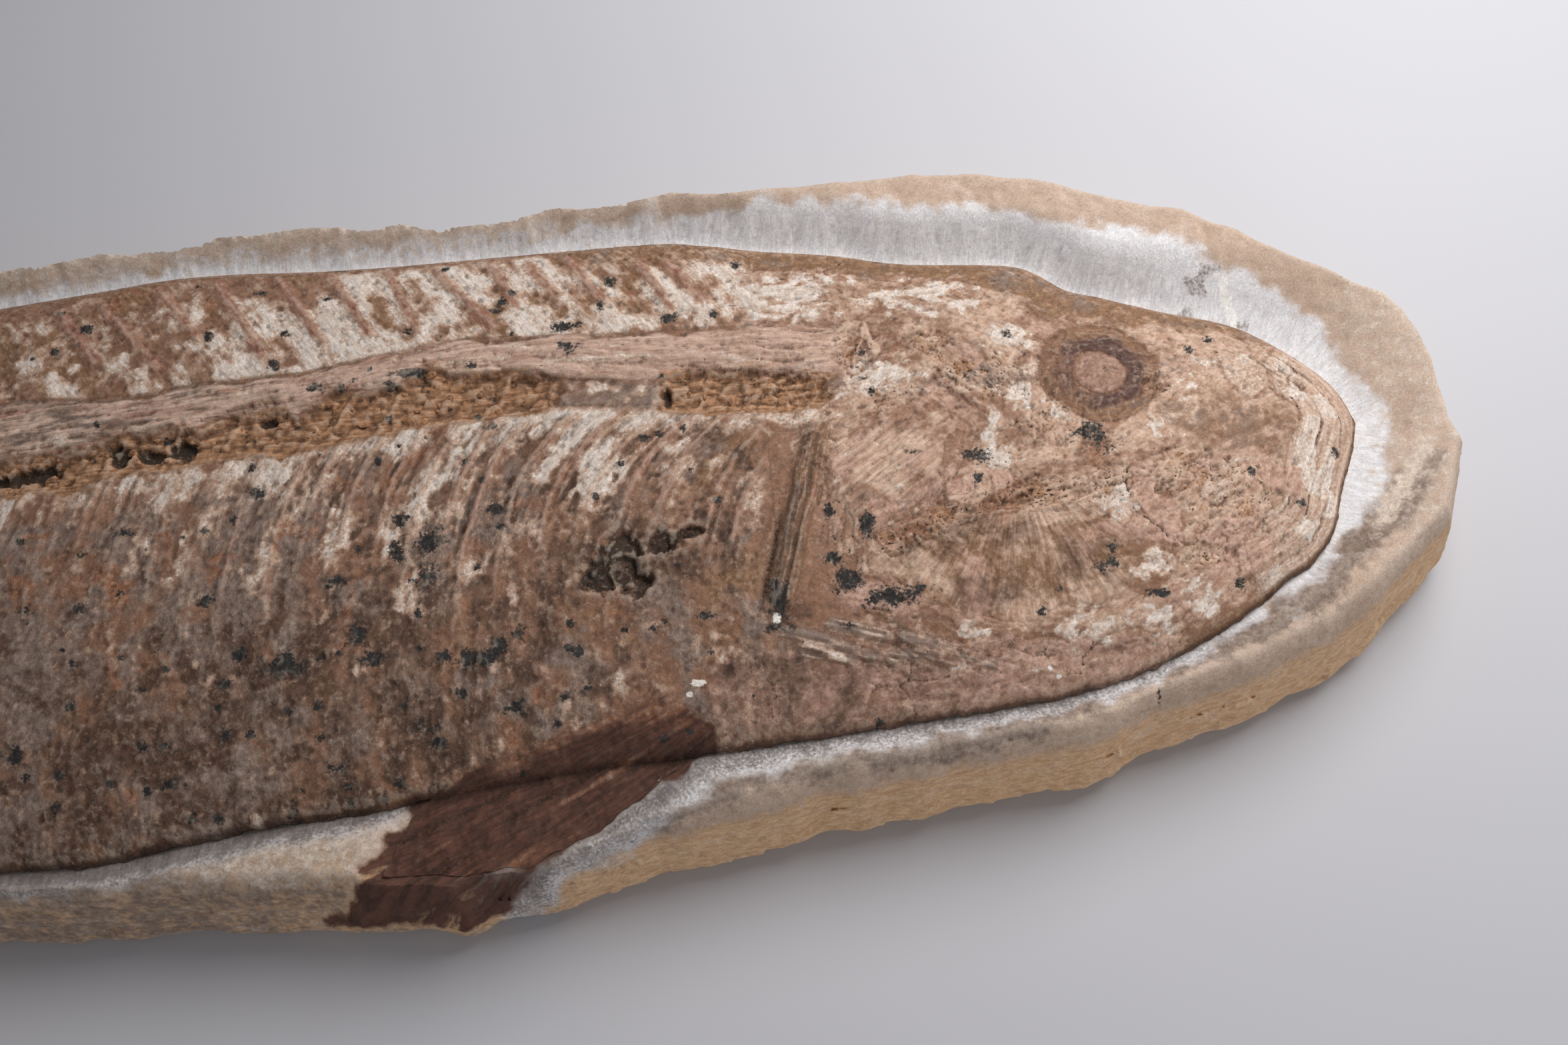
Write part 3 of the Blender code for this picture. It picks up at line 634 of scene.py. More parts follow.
def fibrous_band(field):
    x, y, over = field["x"], field["y"], field["over"]
    top, foot = across(SPINE_BAND_TOP, x), across(TROUGH_TOP, x)
    wander = 1.6 * rough(x, y, 13, 27)
    run = ease(x, -330, -120) * (1 - ease(x, 352, 378))
    band = run * ease(y - foot + wander, -0.5, 2) * (1 - ease(y - top + 2 * wander, -2, 1.5))
    comb(field, band, over + 0.8 * rough(x, y, 9, 109), x)
    fibres = hills(x / 26, over / 2.1, 1, 28) + 0.8 * hills(x / 15, over / 1.15, 1, 29)
    sheets, under, _ = peeled(x / 34, over / 9, 1, 110, 5)
    middle = bell((y - (top + foot) / 2) / np.maximum(top - foot, 6), 0.5)
    raise_by(field, band * (1.7 * middle + 0.36 * fibres + 0.30 * sheets))
    fade(field, "strip umber rust grey dark cream", 0.85 * band)
    grimy = (1 - ease(x, 60, 220)) * ease(rough(x / 20, over / 6, 1, 33) + 0.5, -0.1, 0.6)
    mark(field, "fibre", band * (1 - 0.65 * grimy))
    # Painted shadow under the edges of the fibre sheets.
    mark(field, "hole", 0.4 * band * under)
    chalk = rough(x / 18, over / 4, 1, 32, 4) + 0.3 * bell(over - 10, 6)
    mark(field, "cream", 0.75 * band * ease(chalk, 0.15, 0.75))
    mark(field, "grey", band * grimy)
    mark(field, "strip", 0.55 * band * ease(rough(x / 22, over / 3, 1, 171, 4), 0.05, 0.5))
    mark(field, "rust", 0.5 * band * ease(rough(x / 15, over / 4, 1, 111), 0.1, 0.7))


def trough(field):
    x, y = field["x"], field["y"]
    top = across(TROUGH_TOP, x) + 2.4 * rough(x, y, 11, 34) + 2.2 * rough(x, y, 3.6, 128, 3)
    low = across(TROUGH_LOW, x) + 2.2 * rough(x, y, 9, 35) + 1.4 * rough(x, y, 3.2, 129)
    end = x + 7 * rough(x, y, 6, 130, 3)
    along = sum(ease(end, a - 4, a + 6) * (1 - ease(end, b - 6, b + 4)) for a, b in TROUGH_RUNS)
    opened = along * ease(top - y, -0.6, 3.6) * ease(y - low, -0.8, 6.0)
    shown = along * ease(top - y, -0.6, 2.0) * ease(y - low, -1.6, 1.4)
    flakes, under, number = broken(x / 1.6, y, 4.6, 36, 0.9, 0.5, 0.28)
    slant = (x - 0.4 * (y - 40)) / 22.0 + 0.25 * rough(x, y, 25, 38)
    septum = ease(np.cos(2 * math.pi * slant), 0.84, 0.97)
    fill = -2.2 + flakes + 0.9 * septum - 0.4 * under + 0.4 * rough(x / 1.6, y, 3.0, 37, 3)
    under = under * ease(rough(x, y, 7, 162), -0.15, 0.35)
    pit = np.max([blob(field, *hole, ragged=0.6) for hole in HOLES], axis=0) * opened
    raise_by(field, opened * fill - 3.2 * pit)
    bridge = (1 - along) * ease(x, -205, -190) * ease(top - y, -2, 2) * ease(y - low, -2, 2)
    mark(field, "grey", 0.6 * bridge)
    mark(field, "cream", 0.7 * bridge * ease(rough(x, y, 6, 141, 4), -0.1, 0.5))
    fade(field, STAINS, 0.95 * shown)
    comb(field, shown, 1.6 * y, x)
    mark(field, "umber", 0.8 * shown)
    mark(field, "rust", 0.75 * shown * (number > 0.5))
    mark(field, "ochre", shown * (0.50 + 0.5 * at_random(np.floor(number * 97).astype(int), 2, 36)))
    # Painted shadow under the upper lip; the pits and the cracks between the flakes get painted shade too.
    shadow_under_lip = opened * bell(top - y - 1.8, 1.3) * ease(rough(x, y, 9, 39), -0.25, 0.3)
    mark(field, "hole", np.maximum(0.9 * pit, opened * np.maximum(0.5 * under, 0.8 * shadow_under_lip)))
    mark(field, "crumbs", 0.22 * opened * (1 - pit))
    west = 1 - ease(x, 60, 170)
    mark(field, "dark", opened * west * ease(rough(x, y, 10, 40) + 0.55, 0, 0.6) * 0.85)
    lip = along * bell(y - top - 1.0, 3.4)
    sheets, under, number = peeled(x / 2.5, y, 6.0, 112, 3, 3)
    raise_by(field, 0.5 * lip * sheets)
    fade(field, "fibre cream grey", 0.5 * lip)
    mark(field, "rust", 0.6 * lip * (number > 0.3))
    mark(field, "ochre", 0.6 * lip * (number > 0.6))
    # Painted shadow under the edges of the lip's sheets.
    mark(field, "hole", 0.5 * lip * under)
    crust = along * bell(low - y - 3.5, 5.0) * ease(rough(x, y, 8, 142, 4) + 0.55, 0.1, 0.7)
    raise_by(field, 0.5 * crust * rough(x, y, 3.0, 159, 3))
    mark(field, "cream", 0.7 * crust)
    mark(field, "ochre", 0.5 * crust * ease(rough(x, y, 5, 160, 3), 0.2, 0.6))


# %% [markdown]
# ## The hollow behind the shoulder
#
# A lump of the flank fell out here. What is left is a dark hollow with small blocks in it.

# %% The hollow
HOLLOW_LOBES = (
    (262, -30, 9, 6), (272, -20, 10, 8), (275, -32, 10, 6), (288, -18, 9, 5), (300, -14, 7, 3),
    (268, -26, 13, 8),
)


def hollow(field):
    x, y = field["x"], field["y"]
    lost = np.max([blob(field, *lobe, ragged=0.4) for lobe in HOLLOW_LOBES], axis=0)
    wide = blob(field, 274, -23, 38, 24, ragged=0.5)
    fade(field, "cream strip", 0.9 * wide)
    mark(field, "dark", 0.5 * wide)
    blocks, crack, number = broken(x, y, 10.0, 42, 1.3, 1.0, 0.3)
    raise_by(field, lost * (-1.8 + blocks - 0.6 * crack + 0.4 * rough(x, y, 4, 114)))
    fade(field, STAINS, lost)
    mark(field, "dark", lost * (0.85 + 0.15 * (number > 0.4)))
    mark(field, "umber", 0.7 * lost)
    mark(field, "rust", 0.4 * lost * (number > 0.85))
    # Painted shade over the floor of the hollow and in its cracks.
    mark(field, "hole", lost * np.maximum(0.58 + 0.16 * (number > 0.5), 0.8 * crack))
    mark(field, "crumbs", 0.12 * lost)
    near = blob(field, 274, -23, 34, 19, ragged=0.8)
    mark(field, "dark", 0.62 * near)
    for patch in ((309, -12, 12, 9), (316, -28, 8, 8), (296, -28, 9, 8), (322, 15, 5, 7), (314, 27, 6, 4)):
        mark(field, "dark", 0.7 * blob(field, *patch, ragged=0.9))


# %% [markdown]
# ## The shoulder girdle and the gill cover
#
# The cleithrum is a tall strap of fibrous bone behind the head, with a dark seam at its rear
# edge. In front of it the gill cover is a shallow shield, and under a crumbling ridge the cheek
# plate shows fine striae that all run from one point, as growth lines do.

# %% Shoulder and gill cover
CLEITHRUM = ((34, 357), (20, 352), (-2, 346), (-17, 341), (-35, 336), (-46, 333))
FAN_CENTRE = (432, 8)
CHEEK_RIDGE = ((378, -25), (395, -18), (415, -13), (440, -11), (464, -7))


def shoulder(field):
    x, y = field["x"], field["y"]
    off = x - np.interp(y, *np.array(sorted((y, x) for y, x in CLEITHRUM), float).T)
    off = off + 0.8 * rough(x, y, 12, 43)
    tall = ease(y, -50, -42) * (1 - ease(y, 20, 38))
    strap = np.exp(-((off / 6.0) ** 4)) * tall
    strands = hills(off / 1.5, y / 26, 1, 44) + 0.8 * hills(off / 0.8, y / 12, 1, 45)
    comb(field, strap, off, y)
    raise_by(field, 2.6 * strap * (1 - 0.35 * bell(off - 1, 1.2)) + 0.45 * strap * strands)
    fade(field, STAINS, 0.85 * strap)
    mark(field, "umber", 0.95 * strap)
    mark(field, "rust", strap * ease(strands, -0.4, 1.0) * 0.5)
    mark(field, "dark", strap * (0.62 + 0.3 * bell(off + 4.5, 2.5)))
    mark(field, "strip", 0.7 * strap * ease(-strands, 0.1, 0.9))
    # Painted shade in the furrows between the strands.
    mark(field, "hole", 0.5 * strap * ease(-strands, 0.8, 1.4))
    # The seam is a groove with painted shade in it.
    seam = bell(off + 7.5, 1.3) * ease(y, -52, -42) * (1 - ease(y, -18, -2))
    raise_by(field, -1.1 * seam)
    mark(field, "hole", 0.6 * seam * ease(rough(x, y, 6, 145) + 0.5, 0, 0.5))
    mark(field, "dark", 0.8 * blob(field, 334, -50, 10, 6, ragged=0.9))


def gill_cover(field):
    x, y = field["x"], field["y"]
    shield = zone(field, ((360, 22), (378, 25), (404, 16), (404, 0), (392, -10), (368, -14), (354, 0)), 9.0, 4.0)
    u, v = x * 0.82 + y * 0.57, -x * 0.57 + y * 0.82
    comb(field, shield, v, u)
    raise_by(field, shield * (0.8 + 0.22 * hills(u / 14, v / 1.2, 1, 46)))
    fade(field, "cream rust umber grey dark", 0.7 * shield)
    mark(field, "sand", shield * ease(rough(x, y, 16, 47) + 0.7, 0.0, 0.9))
    mark(field, "cream", 0.7 * shield * ease(rough(u / 9, v / 3, 1, 115), 0.0, 0.7))
    mark(field, "rust", blob(field, 392, 16, 5, 2.5))
    for patch in ((413, 33, 4, 4), (436, 43, 4, 3), (409, -6, 7, 6), (424, -1, 5, 5), (366, -4, 6, 9)):
        mark(field, "eye", 0.45 * blob(field, *patch, ragged=0.7))
    mark(field, "rust", 0.7 * blob(field, 374, 17, 11, 8, ragged=0.8))
    mark(field, "hole", 0.6 * blob(field, 391, 12, 4, 1.5))
    off = np.hypot(x - FAN_CENTRE[0], y - FAN_CENTRE[1])
    turn = np.arctan2(y - FAN_CENTRE[1], x - FAN_CENTRE[0])
    swung = np.mod(turn, 2 * math.pi)
    fan = ease(swung, 3.3, 3.6) * (1 - ease(swung, 5.3, 5.8))
    fan = fan * ease(off, 20, 30) * (1 - ease(off + 7 * rough(x, y, 15, 48), 56, 82))
    fan = fan * ease(np.interp(x, *np.array(CHEEK_RIDGE, float).T) - y, 0, 6)
    comb(field, fan, turn * 50, off)
    striae = hills(turn * 50 / 1.25, off / 16, 1, 49) + 0.6 * hills(turn * 50 / 0.8, off / 9, 1, 116)
    raise_by(field, 0.18 * fan * striae)
    fade(field, "umber dark grey cream", 0.6 * fan)
    mark(field, "umber", 0.9 * fan)
    mark(field, "dark", 0.42 * fan)
    mark(field, "sand", fan * (0.26 + 0.12 * striae))
    gap = distance(field["places"], CHEEK_RIDGE, closed=False, reach=24.0)
    ridge = bell(gap + 2 * rough(x, y, 7, 117), 7.0)
    u, v = x * 0.97 + y * 0.22, -x * 0.22 + y * 0.97
    sheets, under, _ = peeled(u / 2.6, v, 5.5, 50, 6)
    comb(field, ridge, v, u)
    raise_by(field, ridge * (1.2 + 0.42 * sheets))
    fade(field, "cream grey plate", 0.7 * ridge)
    mark(field, "rust", 0.62 * ridge)
    mark(field, "ochre", 0.6 * ridge * ease(rough(x, y, 7, 118), 0.0, 0.5))
    # Painted shadow under the edges of the ridge's sheets.
    mark(field, "hole", 0.85 * ridge * under)


# %% [markdown]
# ## The head: broken bone, plates and jaws
#
# Most of the head is thin bone that cracked into flakes and was pressed flat. Three sizes of
# broken cells give it: shields of two centimetres, flakes of half a centimetre and crumbs. Over
# them lie the larger plates that came out whole. Along the jaws the bones are long strips that
# follow the mouth, so their relief depends on the distance to the outline.

# %% Head bones
HYOID_RODS = (
    ((334, -57), (346, -61), (368, -70)), ((380, -63), (392, -67), (412, -76)),
    ((374, -71), (386, -70), (396, -74)), ((341, -65), (360, -70)), ((352, -56), (372, -62)),
)
PLATES = (
    (((477, -3), (487, -4), (486, -17), (481, -22), (475, -17)), 0.9, "plate"),
    (((505, -10), (514, -9), (518, -15), (510, -20), (503, -16)), 0.6, "white"),
    (((498, -33), (512, -25), (526, -27), (523, -35), (508, -38)), 0.9, "plate"),
    (((403, -3), (411, 0), (415, -7), (410, -14), (402, -11)), 0.6, "plate"),
    (((419, 2), (427, 2), (430, -5), (422, -8)), 0.6, "plate"),
    (((524, 49), (535, 48), (543, 42), (542, 32), (533, 26), (525, 33)), 0.9, "white"),
    (((545, 42), (551, 38), (549, 26), (544, 28)), 0.7, "white"),
    (((486, -22), (494, -22), (493, -36), (486, -34)), 0.7, "plate"),
    (((529, -3), (548, -6), (545, -18), (530, -14)), 0.8, "plate"),
    (((516, -38), (532, -32), (528, -44), (514, -50)), 0.8, "plate"),
    (((371, 56), (378, 77), (384, 60), (380, 54), (377, 66)), 1.6, "sand"),
)
CRACKS = (
    ((476, -3), (474, -12), (476, -21), (484, -27), (488, -34)), ((514, 52), (524, 50)),
    ((428, -4), (424, -14)), ((372, 57), (375, 68)), ((506, -6), (515, -8)),
    ((549, 28), (553, 20)),
)
CRUMBLY_HEAD = (
    (424, 45, 22, 12), (405, 62, 12, 7), (388, 38, 10, 8), (445, 22, 10, 12), (372, 60, 9, 12),
    (498, -6, 20, 12), (515, -20, 18, 14), (500, -38, 16, 10), (470, -8, 14, 8), (552, 30, 8, 12),
    (340, 45, 12, 8), (440, -8, 14, 6), (494, 34, 7, 12),
)
BONE_RUNS = (
    (345, 70, -4), (390, 85, -10), (440, 80, -22), (352, 40, 20), (385, 55, 35), (420, 45, -40),
    (440, 30, 80), (345, -20, 84), (385, 5, 38), (412, -5, 55), (440, -12, 14), (400, -35, -50),
    (440, -40, -75), (480, -10, 22), (505, -15, 28), (515, -35, 50), (540, -25, 52), (560, 0, 62),
    (574, 20, 88), (562, 45, 130), (530, 60, 150), (525, 20, 20), (490, 72, 165), (470, -45, 10),
    (500, -58, 28), (430, -68, -8), (380, -66, -20), (345, -62, -10), (400, -85, 4), (455, -75, 16),
)
SMOOTH_SNOUT = ((488, 20), (505, 31), (522, 30), (534, 24), (550, 24), (552, 10), (534, -2), (505, 4))
BACK_BAND = (
    (245, 121), (282, 117), (319, 113), (339, 109), (368, 105), (382, 101), (410, 98), (424, 96),
    (438, 88), (450, 76), (464, 71), (492, 68), (519, 62), (540, 57), (553, 60), (520, 80),
    (470, 100), (430, 116), (340, 130), (245, 140),
)
CHALKY_HEAD = (
    (344, 92, 34, 15), (415, 82, 14, 6), (383, 50, 12, 8), (424, 12, 6, 16), (437, 36, 9, 8),
    (496, 16, 10, 6), (452, 28, 6, 10), (352, 55, 12, 9), (470, -16, 12, 8), (478, -64, 12, 7),
    (452, -64, 14, 9), (352, 40, 14, 4), (384, 2, 12, 14), (400, 88, 26, 9), (436, 62, 12, 8), (505, 30, 6, 9), (408, -62, 10, 4), (494, -52, 12, 6),
    (481, -42, 12, 8), (427, -56, 7, 5), (449, -18, 10, 7), (498, -59, 6, 6),
)


def combed(field, width, length, seed, octaves=3):
    """Random hills that are long in the direction in which the nearest bones run."""
    x, y = field["x"], field["y"]
    total, power = 0, 0
    for index, (gx, gy, degrees) in enumerate(BONE_RUNS):
        c, s = math.cos(math.radians(degrees)), math.sin(math.radians(degrees))
        share = 1 / (0.02 + ((x - gx) ** 2 + (y - gy) ** 2) / 900) ** 2
        u, v = c * x + s * y, -s * x + c * y
        total = total + share * rough(u / length, v / width, 1, seed + 3 * index, octaves)
        power = power + share**2
    return total / np.sqrt(power)


def head_bone(field):
    x, y = field["x"], field["y"]
    head = ease(x + 0.25 * y, 338, 352) * field["skin"]
    calm = np.maximum(zone(field, SMOOTH_SNOUT, 8.0), 0.8 * zone(field, BACK_BAND))
    calm = np.maximum(calm, 0.75 * blob(field, 440, -45, 60, 22))
    crumbly = np.max([blob(field, *patch, ragged=0.7) for patch in CRUMBLY_HEAD], axis=0)
    hill = 4.5 * combed(field, 9, 24, 51, 4)
    level = np.floor(hill)
    part = hill - level
    rise = ease(part, 0.86, 1.0)
    under = ease(part, 0.66, 0.86) * (1 - ease(part, 0.86, 0.94))
    number = at_random(level.astype(int), 7, 52)
    rugged = head * (1 - 0.8 * calm)
    grain = combed(field, 1.7, 9, 53, 2)
    tufts = 4.2 * combed(field, 4.5, 11, 154, 3)
    layer, curl = np.floor(tufts), tufts - np.floor(tufts)
    flakes = layer + ease(curl, 0.84, 1.0) - 0.5 * curl * (1 - ease(curl, 0.84, 1.0))
    behind = ease(curl, 0.68, 0.84) * (1 - ease(curl, 0.84, 0.93))
    raise_by(field, rugged * (0.40 * (level + rise - 0.35 * part * (1 - rise))) + 0.22 * head * grain)
    raise_by(field, head * crumbly * (0.45 * flakes - 0.3 * behind))
    mark(field, "crumbs", 0.5 * head * crumbly * ease(rough(x, y, 7, 156), 0.0, 0.5))
    # Painted shadow under the edges of the sheets and behind the curled flakes.
    mark(field, "hole", 0.6 * rugged * under * ease(rough(x, y, 22, 119) + 0.3 * crumbly, 0.0, 0.6))
    mark(field, "hole", 0.7 * head * crumbly * behind * ease(rough(x, y, 6, 155) + 0.35, 0, 0.4))
    tone = combed(field, 12, 26, 55, 4)
    light = 0.9 * ease(x, 480, 530)
    mark(field, "sand", 0.85 * head * ease(tone + 0.5 * (number - 0.5) + 0.15 + light, -0.35, 0.65))
    mark(field, "plate", 0.8 * head * ease(0.6 * (number - 0.5) - tone + 0.1, -0.3, 0.6))
    mark(field, "rust", 0.75 * head * (1 - 0.6 * calm) * ease(combed(field, 7, 14, 56), 0.1, 0.75))
    mark(field, "ochre", 0.6 * head * crumbly * ease(rough(x, y, 8, 120), -0.2, 0.6))
    chalk = np.max([blob(field, *patch, ragged=0.8) for patch in CHALKY_HEAD], axis=0)
    chalk = chalk * ease(combed(field, 3.0, 8, 57, 3) + 0.55, -0.1, 0.7)
    stray = 0.85 * ease(combed(field, 3.5, 11, 58, 3), 0.2, 0.9) * (1 - calm)
    mark(field, "cream", head * np.maximum(chalk, np.maximum(stray, 0.5 * ease(x, 485, 560))))
    band = zone(field, BACK_BAND, 6.0, 5.0, 7.0, 58)
    fade(field, "cream sand plate rust", 0.8 * band)
    mark(field, "umber", 0.9 * band)
    mark(field, "grey", 0.6 * band * ease(rough(x, y, 9, 168, 4), -0.2, 0.6))
    mark(field, "sand", 0.45 * band * ease(rough(x, y, 6, 169, 4), 0.05, 0.6))
    mark(field, "hole", 0.5 * band * ease(rough(x, y, 5, 170, 4), 0.32, 0.6))
    brown = zone(field, SMOOTH_SNOUT, 9.0, 4.0)
    fade(field, "cream sand plate", 0.55 * brown)
    mark(field, "umber", 0.6 * brown)
    mark(field, "grey", 0.4 * brown)
    mark(field, "grey", head * 0.6 * ease(combed(field, 8, 14, 59, 3), 0.1, 0.8))
    # Painted shade: the lower half of the head is darker.
    low = ease(-y, -20, 45) * (1 - ease(x, 470, 540))
    mark(field, "dark", 0.3 * head * low * ease(combed(field, 9, 15, 135, 3) + 0.3, -0.4, 0.8))


def throat(field):
    """Thin pinkish plates under the head, parted by hairline cracks."""
    x, y = field["x"], field["y"]
    spread = zone(field, ((300, -68), (330, -64), (430, -66), (500, -66), (470, -88), (300, -102)), 8.0)
    _, crack, number = broken(x / 1.5, y, 11.5, 60, 0.5, 0.0, 0.0)
    open_crack = crack * ease(rough(x, y, 16, 61), -0.05, 0.3)
    raise_by(field, spread * (0.35 * number - 0.3 * open_crack))
    fade(field, "sand rust hole", 0.5 * spread)
    mark(field, "plate", spread * (0.45 + 0.3 * number))
    rear = 1 - 0.7 * ease(x, 355, 410)
    mark(field, "dark", rear * spread * (0.48 + 0.35 * ease(rough(x, y, 18, 146), -0.2, 0.6)))
    mark(field, "sand", 0.8 * (1 - rear) * spread * ease(combed(field, 8, 16, 166, 3) + 0.5, -0.3, 0.6))
    # Painted shade in the open cracks.
    mark(field, "hole", 0.5 * spread * open_crack)
    rods, fibre = 0, hills((x - 0.3 * y) / 11, (y + 0.3 * x) / 1.2, 1, 62)
    for line in HYOID_RODS:
        gap = distance(field["places"], line, closed=False, reach=12.0)
        rods = np.maximum(rods, bell(gap + 0.8 * rough(x, y, 8, 121), 3.2))
    comb(field, rods, y + 0.3 * x, x - 0.3 * y)
    raise_by(field, 0.9 * rods * (1 + 0.35 * fibre))
    fade(field, "sand rust plate umber", 0.6 * rods)
    mark(field, "grey", 0.8 * rods)
    mark(field, "cream", 0.8 * rods * ease(fibre, -0.1, 0.8))
    # Painted shade in the furrows of the rods.
    mark(field, "hole", 0.5 * rods * ease(-fibre, 0.5, 0.9))


def jaws(field):
    x, y, depth = field["x"], field["y"], field["depth"]
    turn = np.arctan2(y + 5, x - 500)
    run = ease(x, 505, 530) * (1 - ease(turn, 0.7, 1.0)) * ease(turn, -1.4, -1.0)
    run = run * ease(depth, 1.0, 3.0) * (1 - ease(depth + 3 * rough(x, y, 12, 63), 20, 32))
    strip = (depth + 4.5 * rough(x, y, 24, 64, 4)) / 8.0
    number = np.floor(strip).astype(int)
    part = strip - number
    number = number + 11 * np.floor(5 * turn + 1.6 * rough(x, y, 16, 143)).astype(int)
    slit = run * (1 - ease(np.minimum(part, 1 - part), 0.02, 0.09))
    slit = slit * ease(rough(turn * 30, strip, 9, 65), -0.1, 0.35)
    comb(field, run, depth, turn * 55)
    strands = hills(turn * 45 / 10, depth / 1.5, 1, 66)
    raise_by(field, run * (0.55 * (1 - part) + 0.4 * at_random(number, 3, 66) + 0.15 * strands) - 0.5 * slit)
    fade(field, "sand rust grey cream hole", 0.6 * run)
    mark(field, "plate", run * (0.6 + 0.4 * at_random(number, 4, 67)))
    mark(field, "sand", 0.85 * run * (at_random(number, 4, 68) > 0.3))
    mark(field, "cream", run * (0.5 + 0.35 * (at_random(number, 6, 68) > 0.6)))
    # Painted shade in the slits between the strips.
    mark(field, "hole", 0.6 * slit)
    mark(field, "rust", 0.5 * run * ease(rough(turn * 50 / 12, depth / 3, 1, 122), 0.1, 0.7))


def whole_plates(field):
    x, y = field["x"], field["y"]
    for corners, lift, stain in PLATES:
        lies = zone(field, corners, 1.8, 1.6, 5.0, 69)
        raise_by(field, 0.8 * lift * lies)
        fade(field, STAINS, 0.8 * lies)
        mark(field, "sand" if stain == "white" else stain, 0.85 * lies)
        mark(field, "cream", 0.55 * lies * (stain == "white"))
        # Painted shadow round the edge of each plate.
        mark(field, "hole", 1.4 * lies * (1 - lies) * ease(rough(x, y, 7, 144), 0.0, 0.4))
    wander = field["places"] + 1.3 * np.column_stack([rough(x, y, 6, 70), rough(x, y, 6, 71)])
    for line in CRACKS:
        crack = bell(distance(wander, line, closed=False, reach=8.0), 0.55)
        crack = crack * ease(rough(x, y, 5, 123) + 0.35, 0.0, 0.4)
        raise_by(field, -0.6 * crack)
        # Painted shade in the cracks.
        mark(field, "hole", 0.7 * crack)


# %% [markdown]
# ## The eye
#
# The eye is a flat disc of pinkish mineral in a dark ring of thin bone, with a brown rim round
# it. It is not quite round, so its radius wavers.

# %% The eye
EYE, EYE_BALL, EYE_RING, EYE_SOCKET = (472, 43), 11.5, 18.0, 24.5


def eye(field):
    x, y = field["x"], field["y"]
    out = np.hypot(x - EYE[0], (y - EYE[1]) * 1.04) + 1.2 * rough(x, y, 8, 72)
    turn = np.arctan2(y - EYE[1], x - EYE[0])
    covered = 1 - ease(out, EYE_SOCKET - 2, EYE_SOCKET + 2.5)
    fade(field, STAINS, covered)
    rings = hills(turn * 4, out / 1.6, 1, 73) + 0.6 * hills(turn * 9, out / 0.9, 1, 124)
    comb(field, covered * (out > EYE_BALL), out, turn * 16)
    raise_by(field, covered * (0.6 * bell(out - 15.5, 4.2) + 0.07 * rings * ease(out, 10, 13)))
    raise_by(field, 0.8 * (1 - ease(out, 0, EYE_BALL)) - 0.3 * bell(out - EYE_SOCKET, 2.2))
    teeth = 1.3 * rough(x, y, 6, 125, 4)
    raise_by(field, -0.35 * bell(out - EYE_BALL, 1.8))
    mark(field, "disc", 1 - ease(out + teeth, EYE_BALL - 3.5, EYE_BALL + 1.5))
    # The ring is dark bone, darker still towards its upper right side, where painted shade lies.
    ring_tone_and_shade = 0.62 + 0.32 * np.cos(turn - 0.6) + 0.35 * rough(x, y, 5, 149)
    ring = ease(out + teeth, EYE_BALL - 3.0, EYE_BALL + 1.5) * (1 - ease(out + teeth, EYE_BALL + 2, EYE_RING + 3))
    halo = (1 - ease(out, EYE_RING, EYE_SOCKET)) * ease(out, 11, 14)
    mark(field, "eye", ring * ring_tone_and_shade + 0.42 * halo * (1 + 0.2 * rings))
    mark(field, "umber", 0.5 * covered * ease(out, EYE_RING - 2, EYE_RING + 2))
    mark(field, "grey", 0.5 * covered * ease(out, EYE_RING - 2, EYE_RING + 2) * ease(rings, 0, 0.8))
    mark(field, "black", 0.62 * blob(field, 475, 43, 2.0, 1.8))
    mark(field, "eye", 0.38 * (out < EYE_BALL) * ease(rough(x, y, 5, 126, 3), 0.0, 0.8))


# %% [markdown]
# ## Fins
#
# A fin is a fan of rays pressed flat. The pectoral fin lies across the edge of the slab, dark
# red-brown, and its rays run out from one point ahead of its root, so their relief depends on
# the angle round that point. The rear fins are finished in the same way, from the CAD's rays.

# %% Fins
PECTORAL_APEX = (379, -47)
PECTORAL_STAIN = (
    (303, -90), (285, -77), (272, -82), (245, -88), (222, -96), (206, -100), (190, -107),
    (165, -112), (150, -150), (220, -150), (303, -100),
)


def fans(x, y):
    """The angle and the distance from the point that the pectoral rays run from."""
    return (
        np.arctan2(PECTORAL_APEX[1] - y, PECTORAL_APEX[0] - x),
        np.hypot(x - PECTORAL_APEX[0], y - PECTORAL_APEX[1]),
    )


def fin_rays(name):
    """The rays of a fin, each from its base to its free edge."""
    front, rear, _, edge, count = FINS[name]
    free = evenly(np.array(edge, float), 1.0)
    rays = []
    for share in (np.arange(2 * count) + 0.5) / (2 * count):
        foot = np.array(front) * (1 - share) + np.array(rear) * share
        rays.append((foot, free[int(share * (len(free) - 1))]))
    return rays


def strands(field, lies):
    """The pectoral fin's rays: relief and stain, in the bone and on the slab beside it."""
    angle, away = fans(field["x"], field["y"])
    comb(field, lies, angle * 170, 1.4 * away)
    coarse, fine = hills(angle / 0.030, away / 50, 1, 74), hills(angle / 0.014, away / 34, 1, 75)
    raise_by(field, lies * (0.45 * coarse + 0.25 * fine))
    return coarse + 0.6 * fine, fine


